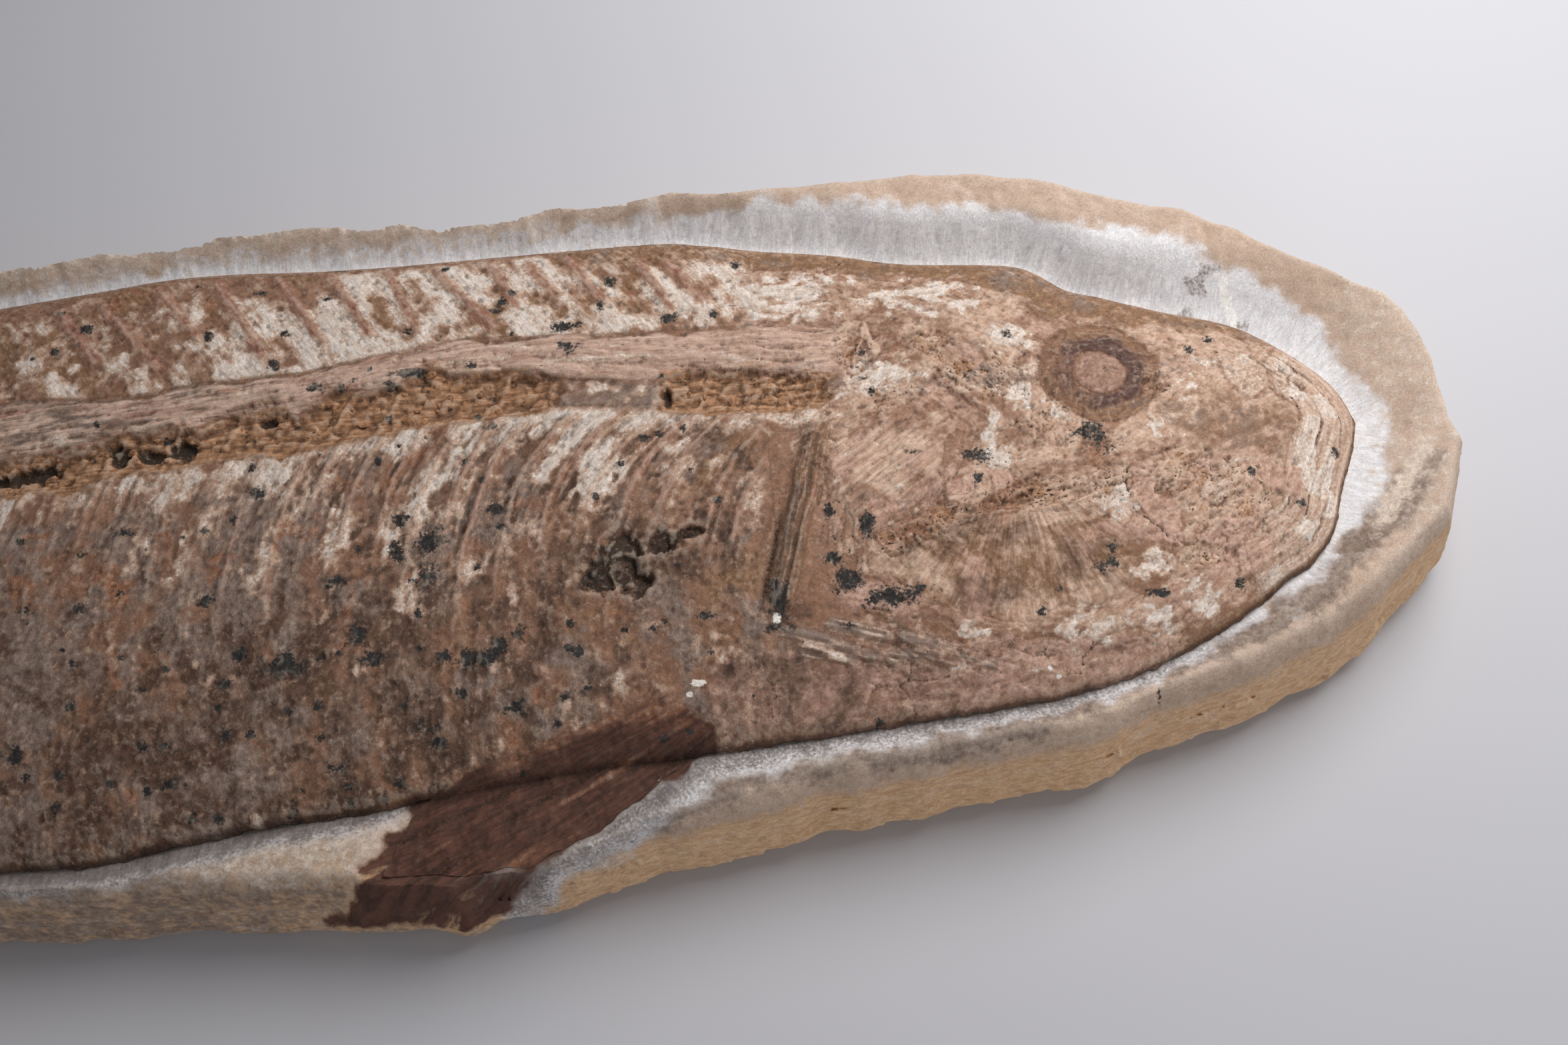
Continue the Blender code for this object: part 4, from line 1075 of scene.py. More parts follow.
def fins(field):
    x, y = field["x"], field["y"]
    lies = zone(field, PECTORAL_STAIN, 4.0, 2.5)
    coarse, fine = strands(field, lies)
    fade(field, STAINS, lies)
    mark(field, "fin", 1.1 * lies)
    fade(field, "fin", 0.55 * ease(coarse + 0.5 * rough(x, y, 14, 150), 0.0, 1.2))
    mark(field, "rust", 0.8 * lies)
    # Painted shade between the rays, then random dark patches.
    mark(field, "hole", 0.5 * lies * ease(-coarse, 0.5, 1.1))
    mark(field, "hole", 0.3 * lies * ease(rough(x, y, 9, 148), 0.0, 0.7))
    for name, loop in FIN_LOOPS.items():
        if name != "pectoral":
            rays = fin_rays(name)
            near = distance(field["places"], loop, reach=15.0) * np.where(inside(field["places"], loop), 1, -1)
            on_fin = ease(near, -1.0, 1.5)
            gap = np.min([distance(field["places"], ray, False, 20.0) for ray in rays], axis=0)
            raise_by(field, on_fin * (1.3 * bell(gap, 1.9) + 0.2 * rough(x, y, 3, 77)))
            mark(field, "fin", on_fin * (0.55 + 0.35 * rough(x, y, 18, 78)))
            mark(field, "strip", on_fin * 0.8 * bell(gap, 1.7))


# %% [markdown]
# ## Triangles over the outline
#
# A grid would waste most of its points on the rear half and on flat stone, so the places are a
# jittered hexagonal pattern with its own pitch in each zone, and a constrained Delaunay
# triangulation joins them. The outline's points stay edges of the result, which makes it easy to
# hang a wall from them and close the solid.

# %% Points and triangles
def scattered(low, high, pitch, seed):
    """A hexagonal pattern in a box, each place moved a little at random."""
    rows = []
    for row, y in enumerate(np.arange(low[1], high[1], pitch * math.sqrt(0.75))):
        xs = np.arange(low[0] + pitch / 2 * (row % 2), high[0], pitch)
        rows.append(np.column_stack([xs, np.full(len(xs), y)]))
    places = np.concatenate(rows)
    return places + np.random.default_rng(seed).uniform(-0.25, 0.25, places.shape) * pitch


def triangulate(loops, loose, wanted, cuts=()):
    """Delaunay triangles between loops, and which vertex each given place became.

    Loose places are never outside, so only a triangle without one has to be asked about.
    """
    places, edges = [], []
    for loop in loops:
        first = len(places)
        places.extend(Vector(p) for p in loop.tolist())
        edges.extend((i, i + 1) for i in range(first, len(places) - 1))
        edges.append((len(places) - 1, first))
    for cut in cuts:
        edges.extend((i, i + 1) for i in range(len(places), len(places) + len(cut) - 1))
        places.extend(Vector(p) for p in cut.tolist())
    on_lines = len(places)
    places.extend(Vector(p) for p in loose.tolist())
    found = delaunay_2d_cdt(places, edges, [], 0, 1e-4, True)
    made_from = np.full(len(places), -1)
    for vertex, ids in enumerate(found[3]):
        made_from[ids] = vertex
    made, faces = np.array([tuple(v) for v in found[0]]), np.array(found[2])
    on_line = np.ones(len(made), bool)
    on_line[made_from[on_lines:]] = False
    unsure = np.flatnonzero(on_line[faces].all(axis=1))
    kept = np.ones(len(faces), bool)
    kept[unsure] = wanted(made[faces[unsure]].mean(axis=1))
    return made, faces[kept], made_from


def borders(faces):
    """Every closed border of a sheet of triangles, in order, with the sheet on its left."""
    halves = np.concatenate([faces[:, [0, 1]], faces[:, [1, 2]], faces[:, [2, 0]]]).astype(np.int64)
    size = faces.max() + 1
    lonely = halves[~np.isin(halves[:, 0] * size + halves[:, 1], halves[:, 1] * size + halves[:, 0])]
    following = dict(lonely.tolist())
    loops = []
    while following:
        start, step = following.popitem()
        loop = [start]
        while step != start:
            loop.append(step)
            step = following.pop(step)
        loops.append(loop)
    return loops


def smoothed(values, faces, rounds):
    """The values averaged over their neighbours, several times."""
    halves = np.concatenate([faces[:, [0, 1]], faces[:, [1, 2]], faces[:, [2, 0]]])
    count = np.bincount(halves[:, 0], minlength=len(values))
    for _ in range(rounds):
        total = np.bincount(halves[:, 0], weights=values[halves[:, 1]], minlength=len(values))
        values = (values + total) / (1 + count)
    return values


# %% [markdown]
# ## From a relief to a closed mesh
#
# A sheet alone would be paper-thin from behind, so a wall hangs from its border down to a flat
# foot. The border's edges are marked sharp: without that, smooth shading would bend the light
# round the corner and draw a false line. Recesses and ridges get a stain of their own, from which
# the material paints shade into the recesses and a highlight onto the ridges.


# %% Make a closed solid from a sheet
def put_in_scene(name, data):
    made = bpy.data.objects.new(name, data)
    bpy.context.scene.collection.objects.link(made)
    return made


def store(mesh, title, values):
    """Numbers or vectors on the points of a mesh."""
    values = np.asarray(values, np.float32)
    kind, slot = ("FLOAT", "value") if values.ndim == 1 else ("FLOAT_VECTOR", "vector")
    mesh.attributes.new(title, kind, "POINT").data.foreach_set(slot, values.ravel())


def solid(name, places, faces, height, attributes, foot_z, material):
    used, index = np.unique(faces, return_inverse=True)
    faces = index.reshape(-1, 3)
    top = np.column_stack([places[used], height[used]])
    loop = max(borders(faces), key=len)
    foot = top[loop].copy()
    foot[:, 2] = foot_z
    count, ring = len(top), np.arange(len(loop))
    after = np.roll(ring, -1)
    loop = np.array(loop)
    wall = np.column_stack([loop[after], loop[ring], count + ring, count + after])
    corners = np.concatenate([top, foot]) * MM
    mesh = bpy.data.meshes.new(name)
    mesh.from_pydata(corners.tolist(), [], faces.tolist() + wall.tolist() + [(count + ring).tolist()])
    for title, values in attributes.items():
        values = values[used]
        store(mesh, title, np.concatenate([values, values[loop]]))
    mesh.shade_smooth()
    on_rim = np.zeros(len(corners), bool)
    on_rim[loop] = True
    on_rim[count:] = True
    ends = np.zeros(len(mesh.edges) * 2, np.int32)
    mesh.edges.foreach_get("vertices", ends)
    sharp = mesh.attributes.new("sharp_edge", "BOOLEAN", "EDGE")
    sharp.data.foreach_set("value", on_rim[ends.reshape(-1, 2)].all(axis=1))
    mesh.materials.append(material)
    mesh.validate()
    print(name, len(faces) + 2 * len(wall), "triangles")
    return put_in_scene(name, mesh)


# %% [markdown]
# ## Colours and nodes
#
# Colours are given as sRGB hex values and turned to linear light by one function. One
# more function adds a node with its settings and its links, which keeps a material of a
# hundred nodes readable: every call is one step of the recipe.


# %% Colour and node helpers
def linear(value):
    """One sRGB hex colour as linear light, with alpha."""
    parts = [int(value[i : i + 2], 16) / 255 for i in (1, 3, 5)]
    return (*[c / 12.92 if c <= 0.04045 else ((c + 0.055) / 1.055) ** 2.4 for c in parts], 1)


def add(tree, kind, inputs=None, **settings):
    """A node with its settings; an input is a value, or another node's output to link."""
    made = tree.nodes.new(kind)
    for name, value in settings.items():
        setattr(made, name, value)
    for socket, value in (inputs or {}).items():
        if isinstance(value, bpy.types.NodeSocket):
            tree.links.new(value, made.inputs[socket])
        else:
            made.inputs[socket].default_value = value
    return made


# %% [markdown]
# ## A material of stains
#
# Both stones are painted in the same way: coats of colour over one another, each where a pattern
# rises. The patterns are the stains of the mesh, frayed by a grain, and grains alone. A grain is
# noise with a size in millimetres; streaks and threads follow the fibres of the mesh. Recesses
# are darkened with painted shade and ridges lightened with a painted highlight, and two grains
# add dirt and dust. What is finer than the mesh is in the bump.

# %% The recipe of both stones
GRAINS = {
    "fine": (1.3, 4.0), "middle": (4.0, 4.0), "broad": (15.0, 4.0), "speck": (0.8, 3.0),
    "dirt": (2.4, 5.0), "dust": (1.7, 5.0), "streak": (2.2, 4.0), "thread": (0.8, 3.0),
}
MIX_FACTOR, MIX_A, MIX_B, MIX_RESULT = 0, 6, 7, 2
FRAY, HIGHLIGHT_AND_DUST_ON_DARK_STAIN = 1.7, 0.12


def grain_patterns(tree):
    """Noise for each grain, from its size in millimetres and its detail."""
    place = add(tree, "ShaderNodeTexCoord").outputs["Object"]
    fibres = add(tree, "ShaderNodeAttribute", attribute_name="fibres").outputs["Vector"]
    grain = {}
    for name, (size, detail) in GRAINS.items():
        inputs = {"Scale": 1 / (size * MM), "Detail": detail, "Roughness": 0.6}
        inputs["Vector"] = fibres if name in ("streak", "thread") else place
        grain[name] = add(tree, "ShaderNodeTexNoise", inputs).outputs[0]
    return grain


def paint_over(tree, colour, coats):
    """Lays coats: a pattern, where it starts and is full, its most, a mask or None, a paint."""
    for pattern, low, high, most, mask, paint in coats:
        inputs = {0: pattern, 1: low, 2: high, 4: most}
        share = add(tree, "ShaderNodeMapRange", inputs, interpolation_type="SMOOTHSTEP").outputs[0]
        if mask:
            share = add(tree, "ShaderNodeMath", {0: share, 1: mask}, operation="MULTIPLY").outputs[0]
        inputs = {MIX_FACTOR: share, MIX_A: colour, MIX_B: paint}
        colour = add(tree, "ShaderNodeMix", inputs, data_type="RGBA").outputs[MIX_RESULT]
    return colour


def layered(name, base, layers, tone, rough_range, bump_mm, stain_without_highlight_and_dust):
    """A material of stains.

    Each layer is a stain, two colours, the grain that frays its edge, the share of the stain at
    which it starts and the width of the fading. The tone gives the shares of the painted shade in
    recesses and the painted highlight on ridges, their two colours, and the shares of dirt and
    dust, which take the same colours. On the stain named last there is hardly any painted
    highlight and hardly any dust.
    """
    material = bpy.data.materials.new(name)
    material.use_nodes = True
    tree = material.node_tree
    shader = tree.nodes["Principled BSDF"]
    grain = grain_patterns(tree)
    stains = {
        stain: add(tree, "ShaderNodeAttribute", attribute_name=stain).outputs["Fac"]
        for stain in dict.fromkeys([layer[0] for layer in layers] + ["relief"])
    }
    coats = [
        (grain["broad"], 0.32, 0.68, 1.0, None, linear(base[1])),
        (grain["middle"], 0.42, 0.70, 0.8, None, linear(base[2])),
    ]
    for stain, first, second, ragged, start, width in layers:
        inputs = {0: grain[ragged], 1: FRAY, 2: -FRAY / 2}
        fray = add(tree, "ShaderNodeMath", inputs, operation="MULTIPLY_ADD").outputs[0]
        frayed = add(tree, "ShaderNodeMath", {0: stains[stain], 1: fray}).outputs[0]
        streaks = [(grain["streak"], 0.35, 0.65, 1.0, None, linear(second))]
        paint = paint_over(tree, linear(first), streaks)
        coats.append((frayed, start, start + width, 1.0, None, paint))
    inputs = {0: stains[stain_without_highlight_and_dust], 1: 0.2, 2: 0.8, 3: 1.0, 4: HIGHLIGHT_AND_DUST_ON_DARK_STAIN}
    dust_and_highlight = add(tree, "ShaderNodeMapRange", inputs, interpolation_type="SMOOTHSTEP").outputs[0]
    # Painted shade darkens the recesses and a painted highlight lightens the ridges; the two grains after them
    # are dirt and dust.
    coats += [
        (stains["relief"], 0.5, 0.0, tone[0], None, linear(tone[2])),
        (stains["relief"], 0.5, 1.0, tone[1], dust_and_highlight, linear(tone[3])),
        (grain["dirt"], 0.53, 0.70, tone[4], None, linear(tone[2])),
        (grain["dust"], 0.55, 0.72, tone[5], dust_and_highlight, linear(tone[3])),
    ]
    colour = paint_over(tree, linear(base[0]), coats)
    grey = add(tree, "ShaderNodeMapRange", {0: grain["thread"], 1: 0.3, 2: 0.7, 3: 0.86, 4: 1.13})
    flat = add(tree, "ShaderNodeMapRange", {0: grain["speck"], 1: 0.3, 2: 0.7, 3: 0.86, 4: 1.12})
    inputs = {0: grey.outputs[0], 1: flat.outputs[0]}
    grey = add(tree, "ShaderNodeMath", inputs, operation="MULTIPLY").outputs[0]
    grey = add(tree, "ShaderNodeCombineColor", {0: grey, 1: grey, 2: grey}).outputs[0]
    inputs = {MIX_FACTOR: 1.0, MIX_A: colour, MIX_B: grey}
    colour = add(tree, "ShaderNodeMix", inputs, data_type="RGBA", blend_type="MULTIPLY")
    tree.links.new(colour.outputs[MIX_RESULT], shader.inputs["Base Color"])
    inputs = {0: grain["middle"], 1: 0.3, 2: 0.7, 3: rough_range[0], 4: rough_range[1]}
    rough_at = add(tree, "ShaderNodeMapRange", inputs, interpolation_type="SMOOTHSTEP")
    tree.links.new(rough_at.outputs[0], shader.inputs["Roughness"])
    bumps = 0.0
    for part in ("thread", "speck"):
        inputs = {0: grain[part], 1: 0.5, 2: bumps}
        bumps = add(tree, "ShaderNodeMath", inputs, operation="MULTIPLY_ADD").outputs[0]
    inputs = {"Height": bumps, "Distance": bump_mm * MM, "Strength": 1.0}
    tree.links.new(add(tree, "ShaderNodeBump", inputs).outputs[0], shader.inputs["Normal"])
    shader.inputs["IOR"].default_value = 1.5
    print(name, "has", len(tree.nodes), "nodes")
    return material


# %% [markdown]
# ## The material of the fossil
#
# The fish is calcium phosphate: bone and scales, stained by iron and manganese, with chalky
# calcite between them. It is dull, because its surface is a powder of broken crystals. The layers
# below are painted in this order, so manganese lies over everything else.

# %% Fossil bone
BONE_LAYERS = (
    ("umber", "#7E6048", "#987659", "streak", 0.15, 0.75),
    ("grey", "#7B695D", "#95837A", "broad", 0.12, 0.75),
    ("rust", "#885C42", "#A3765A", "middle", 0.20, 0.75),
    ("sand", "#BD9D87", "#D9C0AE", "middle", 0.15, 0.80),
    ("plate", "#B39080", "#D0B0A0", "middle", 0.15, 0.75),
    ("dark", "#523D31", "#6C5142", "broad", 0.18, 0.75),
    ("fibre", "#AF9181", "#D2B6A6", "streak", 0.20, 0.50),
    ("strip", "#8C6253", "#A77D6A", "streak", 0.25, 0.50),
    ("cream", "#B0917C", "#CDB5A3", "middle", 0.05, 0.55),
    ("cream", "#D0C0B3", "#E8E0D9", "fine", 0.44, 0.50),
    ("ochre", "#8C6649", "#BC926F", "middle", 0.15, 0.65),
    ("fin", "#4E342B", "#6C4A3D", "streak", 0.25, 0.50),
    ("disc", "#957565", "#B09080", "middle", 0.25, 0.50),
    ("eye", "#573F39", "#71574E", "middle", 0.15, 0.80),
    # Dark holes, and painted shade in cracks, furrows, slits and under the edges of sheets.
    ("hole", "#2E2119", "#40301F", "fine", 0.30, 0.45),
    ("white", "#E6E1DA", "#F2EFEA", "fine", 0.35, 0.35),
    ("black", "#232324", "#3B3A39", "fine", 0.40, 0.32),
)
# The tone: painted shade in the recesses and a painted highlight on the ridges, then dirt and dust grains.
fossil_bone = layered(
    "fossil bone and scale", ("#8B6853", "#A07C65", "#6C5140"), BONE_LAYERS,
    (0.52, 0.28, "#413127", "#DCCDBD", 0.26, 0.20), (0.70, 0.92), 0.32, "fin",
)

# %% [markdown]
# ## The fish
#
# The places are laid out three times as dense on the head as on the rear half, which the
# photograph doesn't show. The relief is worked out once for the whole fish, so nothing jumps
# where one piece ends and the next begins.

# %% Build the fish
TAIL_CUT, HEAD_CUT = -12.0, 331.0
FISH_ZONES = ((-620, TAIL_CUT, 2.3), (TAIL_CUT, HEAD_CUT, 1.03), (HEAD_CUT, 600, 0.72))


def fish_places():
    rng = np.random.default_rng(5)
    body = spline(BODY_EDGE, 1.4 * COARSER)
    ragged = 1.5 * rough(*body.T, 7, 80, 4) + 0.3 * rng.uniform(-1, 1, len(body))
    loops = [body + outward(body, 2) * ragged[:, None]]
    for name, (front, rear, leading, free, _) in FINS.items():
        loop = evenly(np.array([front, *leading, *free, rear, front], float), 1.6 * COARSER, closed=True)
        ragged = 1.8 * rough(*loop.T, 8, 81, 4) if name == "pectoral" else 0.5 * rough(*loop.T, 4, 81)
        loops.append(loop + outward(loop, 2) * ragged[:, None])
    cuts = [
        np.column_stack([np.full(260, x), np.linspace(-165, 145, 260)]) for x in (TAIL_CUT, HEAD_CUT)
    ]
    loose = []
    for west, east, pitch in FISH_ZONES:
        gap = 0.5 * pitch * COARSER
        places = scattered((west + gap, -165), (east - gap, 145), pitch * COARSER, 6)
        kept = np.zeros(len(places), bool)
        for loop in loops:
            near = inside(places, loop[::2])
            near[near] = distance(places[near], loop[::2], reach=6.0) > 0.7 * pitch * COARSER
            kept |= near
        loose.append(places[kept])
    return triangulate(
        loops, np.concatenate(loose),
        lambda spots: np.any([inside(spots, loop) for loop in loops], axis=0), cuts,
    )


places, triangles, _ = fish_places()
print("fish:", len(places), "places,", len(triangles), "triangles")

# %% Work out its relief
FEATURES = (
    flank_crust, ribs, neural_spines, head_bone, gill_cover, fibrous_band, hollow, shoulder,
    throat, jaws, whole_plates, trough, eye, fins, manganese,
)
WHITE_MARKS = (
    (299, -74, 3.5, 1.5), (295, -78, 2, 1.2), (435, -79, 1.3, 1.1), (438, -82, 1.2, 0.9),
    (331, -52, 2.0, 2.6),
)
CENTRUM_PITCH, RELIEF_RANGE = 15.0, 0.9


def tail_vertebrae(field):
    x, over = field["x"], field["over"]
    tail = (1 - ease(x, -240, -205)) * ease(x, -452, -430)
    bead = 0.5 + 0.5 * np.cos(2 * math.pi * x / CENTRUM_PITCH)
    raise_by(field, tail * (2.2 + bead**2) * bell(over, 8.0))
    mark(field, "fibre", tail * bell(over, 8.0))
    # Painted shade between the vertebrae.
    mark(field, "hole", 0.6 * tail * bell(over, 7.0) * (1 - ease(bead, 0.0, 0.12)))


field = new_field(places)
for feature in FEATURES + (tail_vertebrae,):
    feature(field)
for patch in WHITE_MARKS:
    mark(field, "white", blob(field, *patch))
sheet_height = field["height"]
# How far each place stands above its neighbours; from this the material paints shade into the recesses and a
# highlight onto the ridges.
proud = sheet_height - smoothed(sheet_height, triangles, 6)
field["relief"] = np.clip(0.5 + proud / RELIEF_RANGE, 0, 1)
print("relief from", sheet_height.min().round(1), "to", sheet_height.max().round(1), "mm")

# %% Cut it into three pieces and close them
middles = places[triangles].mean(axis=1)
stains = {title: field[title] for title in (*STAINS, "relief")}
stains["fibres"] = np.column_stack([field["across"], field["along"] / 8, 0 * places[:, 0]]) * MM
FISH_PIECES = {
    "fish_tail_half": (-700, TAIL_CUT), "fish_trunk": (TAIL_CUT, HEAD_CUT), "fish_head": (HEAD_CUT, 700)
}
fish_pieces = []
for title, (west, east) in FISH_PIECES.items():
    chosen = triangles[(middles[:, 0] >= west) & (middles[:, 0] < east)]
    fish_pieces.append(
        solid(title, places, chosen, sheet_height, stains, BED_FLOOR_Z, fossil_bone)
    )

# %% [markdown]
# ## The material of the slab
#
# The matrix is a fine laminated limestone. Fresh rock, where the needles cut it, is nearly white;
# the crest keeps a dark purplish weathering band, and the flank is sandy tan.

# %% Limestone
STONE_LAYERS = (
    ("tan", "#CBA783", "#E2C29F", "middle", 0.10, 0.80),
    ("band", "#84746A", "#9D8D82", "middle", 0.10, 0.80),
    ("prep", "#DADADD", "#E9E9EC", "broad", 0.16, 0.60),
    ("pale", "#CBBBAD", "#DFD2C5", "middle", 0.20, 0.60),
    ("vein", "#EDECEA", "#F8F7F5", "fine", 0.35, 0.30),
    # Grey smudges round the vein, and painted shade on the prepared groove of the belly side.
    ("smudge", "#837B77", "#979090", "fine", 0.15, 0.80),
    ("stain", "#4E342B", "#6C4A3D", "streak", 0.25, 0.50),
    # Dark holes, and painted shade between the rays of the fin's stain on the stone.
    ("hole", "#2E2119", "#40301F", "fine", 0.30, 0.45),
    ("spot", "#3A332E", "#4A423B", "fine", 0.35, 0.30),
)
# The tone: painted shade in the recesses and a painted highlight on the ridges, then dirt and dust grains.
limestone = layered(
    "laminated limestone", ("#C0AA99", "#CEB9A9", "#B8A392"), STONE_LAYERS,
    (0.20, 0.16, "#7A6655", "#E2D8CC", 0.08, 0.08), (0.80, 0.96), 0.14, "stain",
)

# %% [markdown]
# ## Crumbs
#
# Loose crumbs of bone and calcite lie in the trough, in the hollow and on the broken parts of the
# head. A crumb is a rough pebble with twenty flat faces. Geometry Nodes makes four of them, puts
# one on each place of a list, and gives it the size and the turn that the list holds. The list
# also holds the stains of the bone under each crumb, which the crumb takes over.

# %% The list of crumbs
CRUMBS_PER_MM2, LARGEST_CRUMB = 0.06, 3.4
CRUMB_LOW, CRUMB_HIGH = (0.8, 0.5, 0.22), (1.5, 1.1, 0.5)


def crumb_list():
    rng = np.random.default_rng(17)
    x, y = places.T
    pitches = [row[2] for row in FISH_ZONES]
    pitch = np.select([x < TAIL_CUT, x < HEAD_CUT], pitches[:2], pitches[2])
    share = CRUMBS_PER_MM2 * field["crumbs"] * (pitch * COARSER) ** 2
    chosen = np.flatnonzero(rng.random(len(x)) < share)
    size = np.exp(rng.normal(0.3, 0.45, len(chosen)))
    size = np.minimum(size, LARGEST_CRUMB) * np.where(x[chosen] > HEAD_CUT, 0.6, 1.15)
    spots = np.column_stack([x, y, sheet_height])[chosen]
    spots[:, 2] -= 0.05 * size
    sizes = size[:, None] * rng.uniform(CRUMB_LOW, CRUMB_HIGH, (len(size), 3))
    turns = rng.normal(0, 1, (len(size), 3)) * (0.22, 0.22, 0.7)
    return chosen, spots * MM, sizes * MM, turns


chosen, crumb_spots, crumb_sizes, crumb_turns = crumb_list()
crumb_mesh = bpy.data.meshes.new("loose_crumbs")
crumb_mesh.from_pydata(crumb_spots.tolist(), [], [])
store(crumb_mesh, "size", crumb_sizes)
store(crumb_mesh, "turn", crumb_turns)
for title in STAINS:
    store(crumb_mesh, title, field[title][chosen])
print("crumbs:", len(chosen))

# %% The tree that turns the list into pebbles
KINDS_OF_PEBBLE = 4


def crumb_tree():
    """The tree, and the identifiers of its inputs."""
    tree = bpy.data.node_groups.new("pebbles on a list of places", "GeometryNodeTree")
    sockets = tree.interface
    sockets.new_socket("Places", in_out="INPUT", socket_type="NodeSocketGeometry")
    seed = sockets.new_socket("Seed", in_out="INPUT", socket_type="NodeSocketInt")
    ragged = sockets.new_socket("Ragged", in_out="INPUT", socket_type="NodeSocketFloat")
    stone = sockets.new_socket("Material", in_out="INPUT", socket_type="NodeSocketMaterial")
    sockets.new_socket("Pebbles", in_out="OUTPUT", socket_type="NodeSocketGeometry")
    given = add(tree, "NodeGroupInput")
    kinds = add(tree, "GeometryNodeGeometryToInstance")
    place = add(tree, "GeometryNodeInputPosition").outputs[0]
    for number in range(KINDS_OF_PEBBLE):
        ball = add(tree, "GeometryNodeMeshIcoSphere", {"Radius": 1.0, "Subdivisions": 1}).outputs["Mesh"]
        count = add(tree, "ShaderNodeMath", {0: given.outputs["Seed"], 1: 3.7 * number}).outputs[0]
        inputs = {"Vector": place, "W": count, "Scale": 1.4}
        noise = add(tree, "ShaderNodeTexNoise", inputs, noise_dimensions="4D").outputs["Color"]
        inputs = {0: noise, 1: (0.5, 0.5, 0.5)}
        shift = add(tree, "ShaderNodeVectorMath", inputs, operation="SUBTRACT").outputs[0]
        inputs = {0: shift, 3: given.outputs["Ragged"]}
        shift = add(tree, "ShaderNodeVectorMath", inputs, operation="SCALE").outputs[0]
        bent = add(tree, "GeometryNodeSetPosition", {"Geometry": ball, "Offset": shift}).outputs[0]
        tree.links.new(bent, kinds.inputs[0])
    pick = add(tree, "FunctionNodeRandomValue", {"Seed": given.outputs["Seed"]}, data_type="INT")
    whole = [socket for socket in pick.inputs if socket.type == "INT"]
    whole[0].default_value, whole[1].default_value = 0, KINDS_OF_PEBBLE - 1
    index = next(socket for socket in pick.outputs if socket.type == "INT")
    turn, size = (
        add(tree, "GeometryNodeInputNamedAttribute", {"Name": name}, data_type="FLOAT_VECTOR").outputs[0]
        for name in ("turn", "size")
    )
    turn = add(tree, "FunctionNodeEulerToRotation", {0: turn}).outputs[0]
    laid = add(tree, "GeometryNodeInstanceOnPoints", {
        "Points": given.outputs["Places"], "Instance": kinds.outputs[0], "Pick Instance": True,
        "Instance Index": index, "Rotation": turn, "Scale": size,
    }).outputs[0]
    real = add(tree, "GeometryNodeRealizeInstances", {0: laid}).outputs[0]
    inputs = {0: real, "Material": given.outputs["Material"]}
    add(tree, "NodeGroupOutput", {0: add(tree, "GeometryNodeSetMaterial", inputs).outputs[0]})
    return tree, {"seed": seed.identifier, "ragged": ragged.identifier, "stone": stone.identifier}


def lay_crumbs():
    maker = put_in_scene("crumb places", crumb_mesh)
    tree, names = crumb_tree()
    pebbles = maker.modifiers.new("pebbles", "NODES")
    pebbles.node_group = tree
    pebbles[names["seed"]], pebbles[names["ragged"]], pebbles[names["stone"]] = 5, 1.1, fossil_bone
    ready = bpy.context.evaluated_depsgraph_get()
    mesh = bpy.data.meshes.new_from_object(
        maker.evaluated_get(ready), preserve_all_data_layers=True, depsgraph=ready
    )
    mesh.name = "loose_crumbs"
    for title in ("size", "turn"):
        mesh.attributes.remove(mesh.attributes[title])
    count = len(mesh.vertices)
    # A middling relief: the crumbs get a little of the painted highlight of ridges.
    store(mesh, "relief", np.full(count, 0.55))
    spots = np.zeros(3 * count, np.float32)
    mesh.vertices.foreach_get("co", spots)
    store(mesh, "fibres", spots.reshape(-1, 3))
    mesh.shade_flat()
    mesh.materials.clear()
    mesh.materials.append(fossil_bone)
    mesh.polygons.foreach_set("material_index", np.zeros(len(mesh.polygons), np.int32))
    bpy.data.objects.remove(maker)
    print("loose_crumbs", len(mesh.polygons), "triangles")
    return put_in_scene("loose_crumbs", mesh)


fish_pieces.append(lay_crumbs())

# %% [markdown]
# ## The slab
#
# The flank is steep, so a sheet seen from above would stretch there. Instead its surface is a
# strip of rows that climbs from the back over the widest line, and a sheet only fills the top
# between the last row and the fish. The rows are pushed in and out by random chips, and by thin
# level laminae, as limestone splits along its bedding.

# %% Build the slab's rows
FOOT_ROWS = ((BACK_INSET, 0.0), (4.4, 0.5), (2.7, 2.6), (1.2, 5.6), (0.3, 8.8), (0.0, WIDEST_Z))
FLANK_INSETS = (0.45, 0.95, 1.5, 2.1, 2.8, 3.6, 4.5, 5.5)
BED_TUCK = 1.2


def stone_measures(places):
    """From the fish, along the fish, from the slab's widest line and along that line."""
    return *nearest(places, FISH_EDGE, reach=90.0), *nearest(places, SLAB, reach=60.0)


def chipping(x, y, z, along):
    """How far a place on the flank is pushed outwards."""
    chips = broken(along, z * 1.4, 13.0, 82, 1.0, 0.7, 0.07)[0]
    layers = 0.35 * hills(along / 40, z / 1.5, 1, 83)
    return chips + layers + 0.5 * rough(along, z, 5.0, 84)


def slab_rows():
    edge = spline(SLAB, 1.5 * COARSER)
    edge = edge[(edge[:, 0] > -15) | (np.arange(len(edge)) % 2 == 0)]
    normal = outward(edge, 5)
    along = np.cumsum(np.hypot(*(edge - np.roll(edge, 1, axis=0)).T))
    rows = []
    for inset, z in FOOT_ROWS + tuple((inset, None) for inset in FLANK_INSETS):
        row = edge - normal * inset
        if z is None:
            from_fish, _, from_edge, _ = stone_measures(row)
            height = stone_height(*row.T, from_fish, from_edge)
        else:
            height = np.full(len(row), z)
        push = chipping(*row.T, height, along) * ease(height, -2, 6)
        row = row + normal * push[:, None]
        height = height + 0.35 * push * (height > WIDEST_Z)
        rows.append(np.column_stack([row, height]))
    return rows


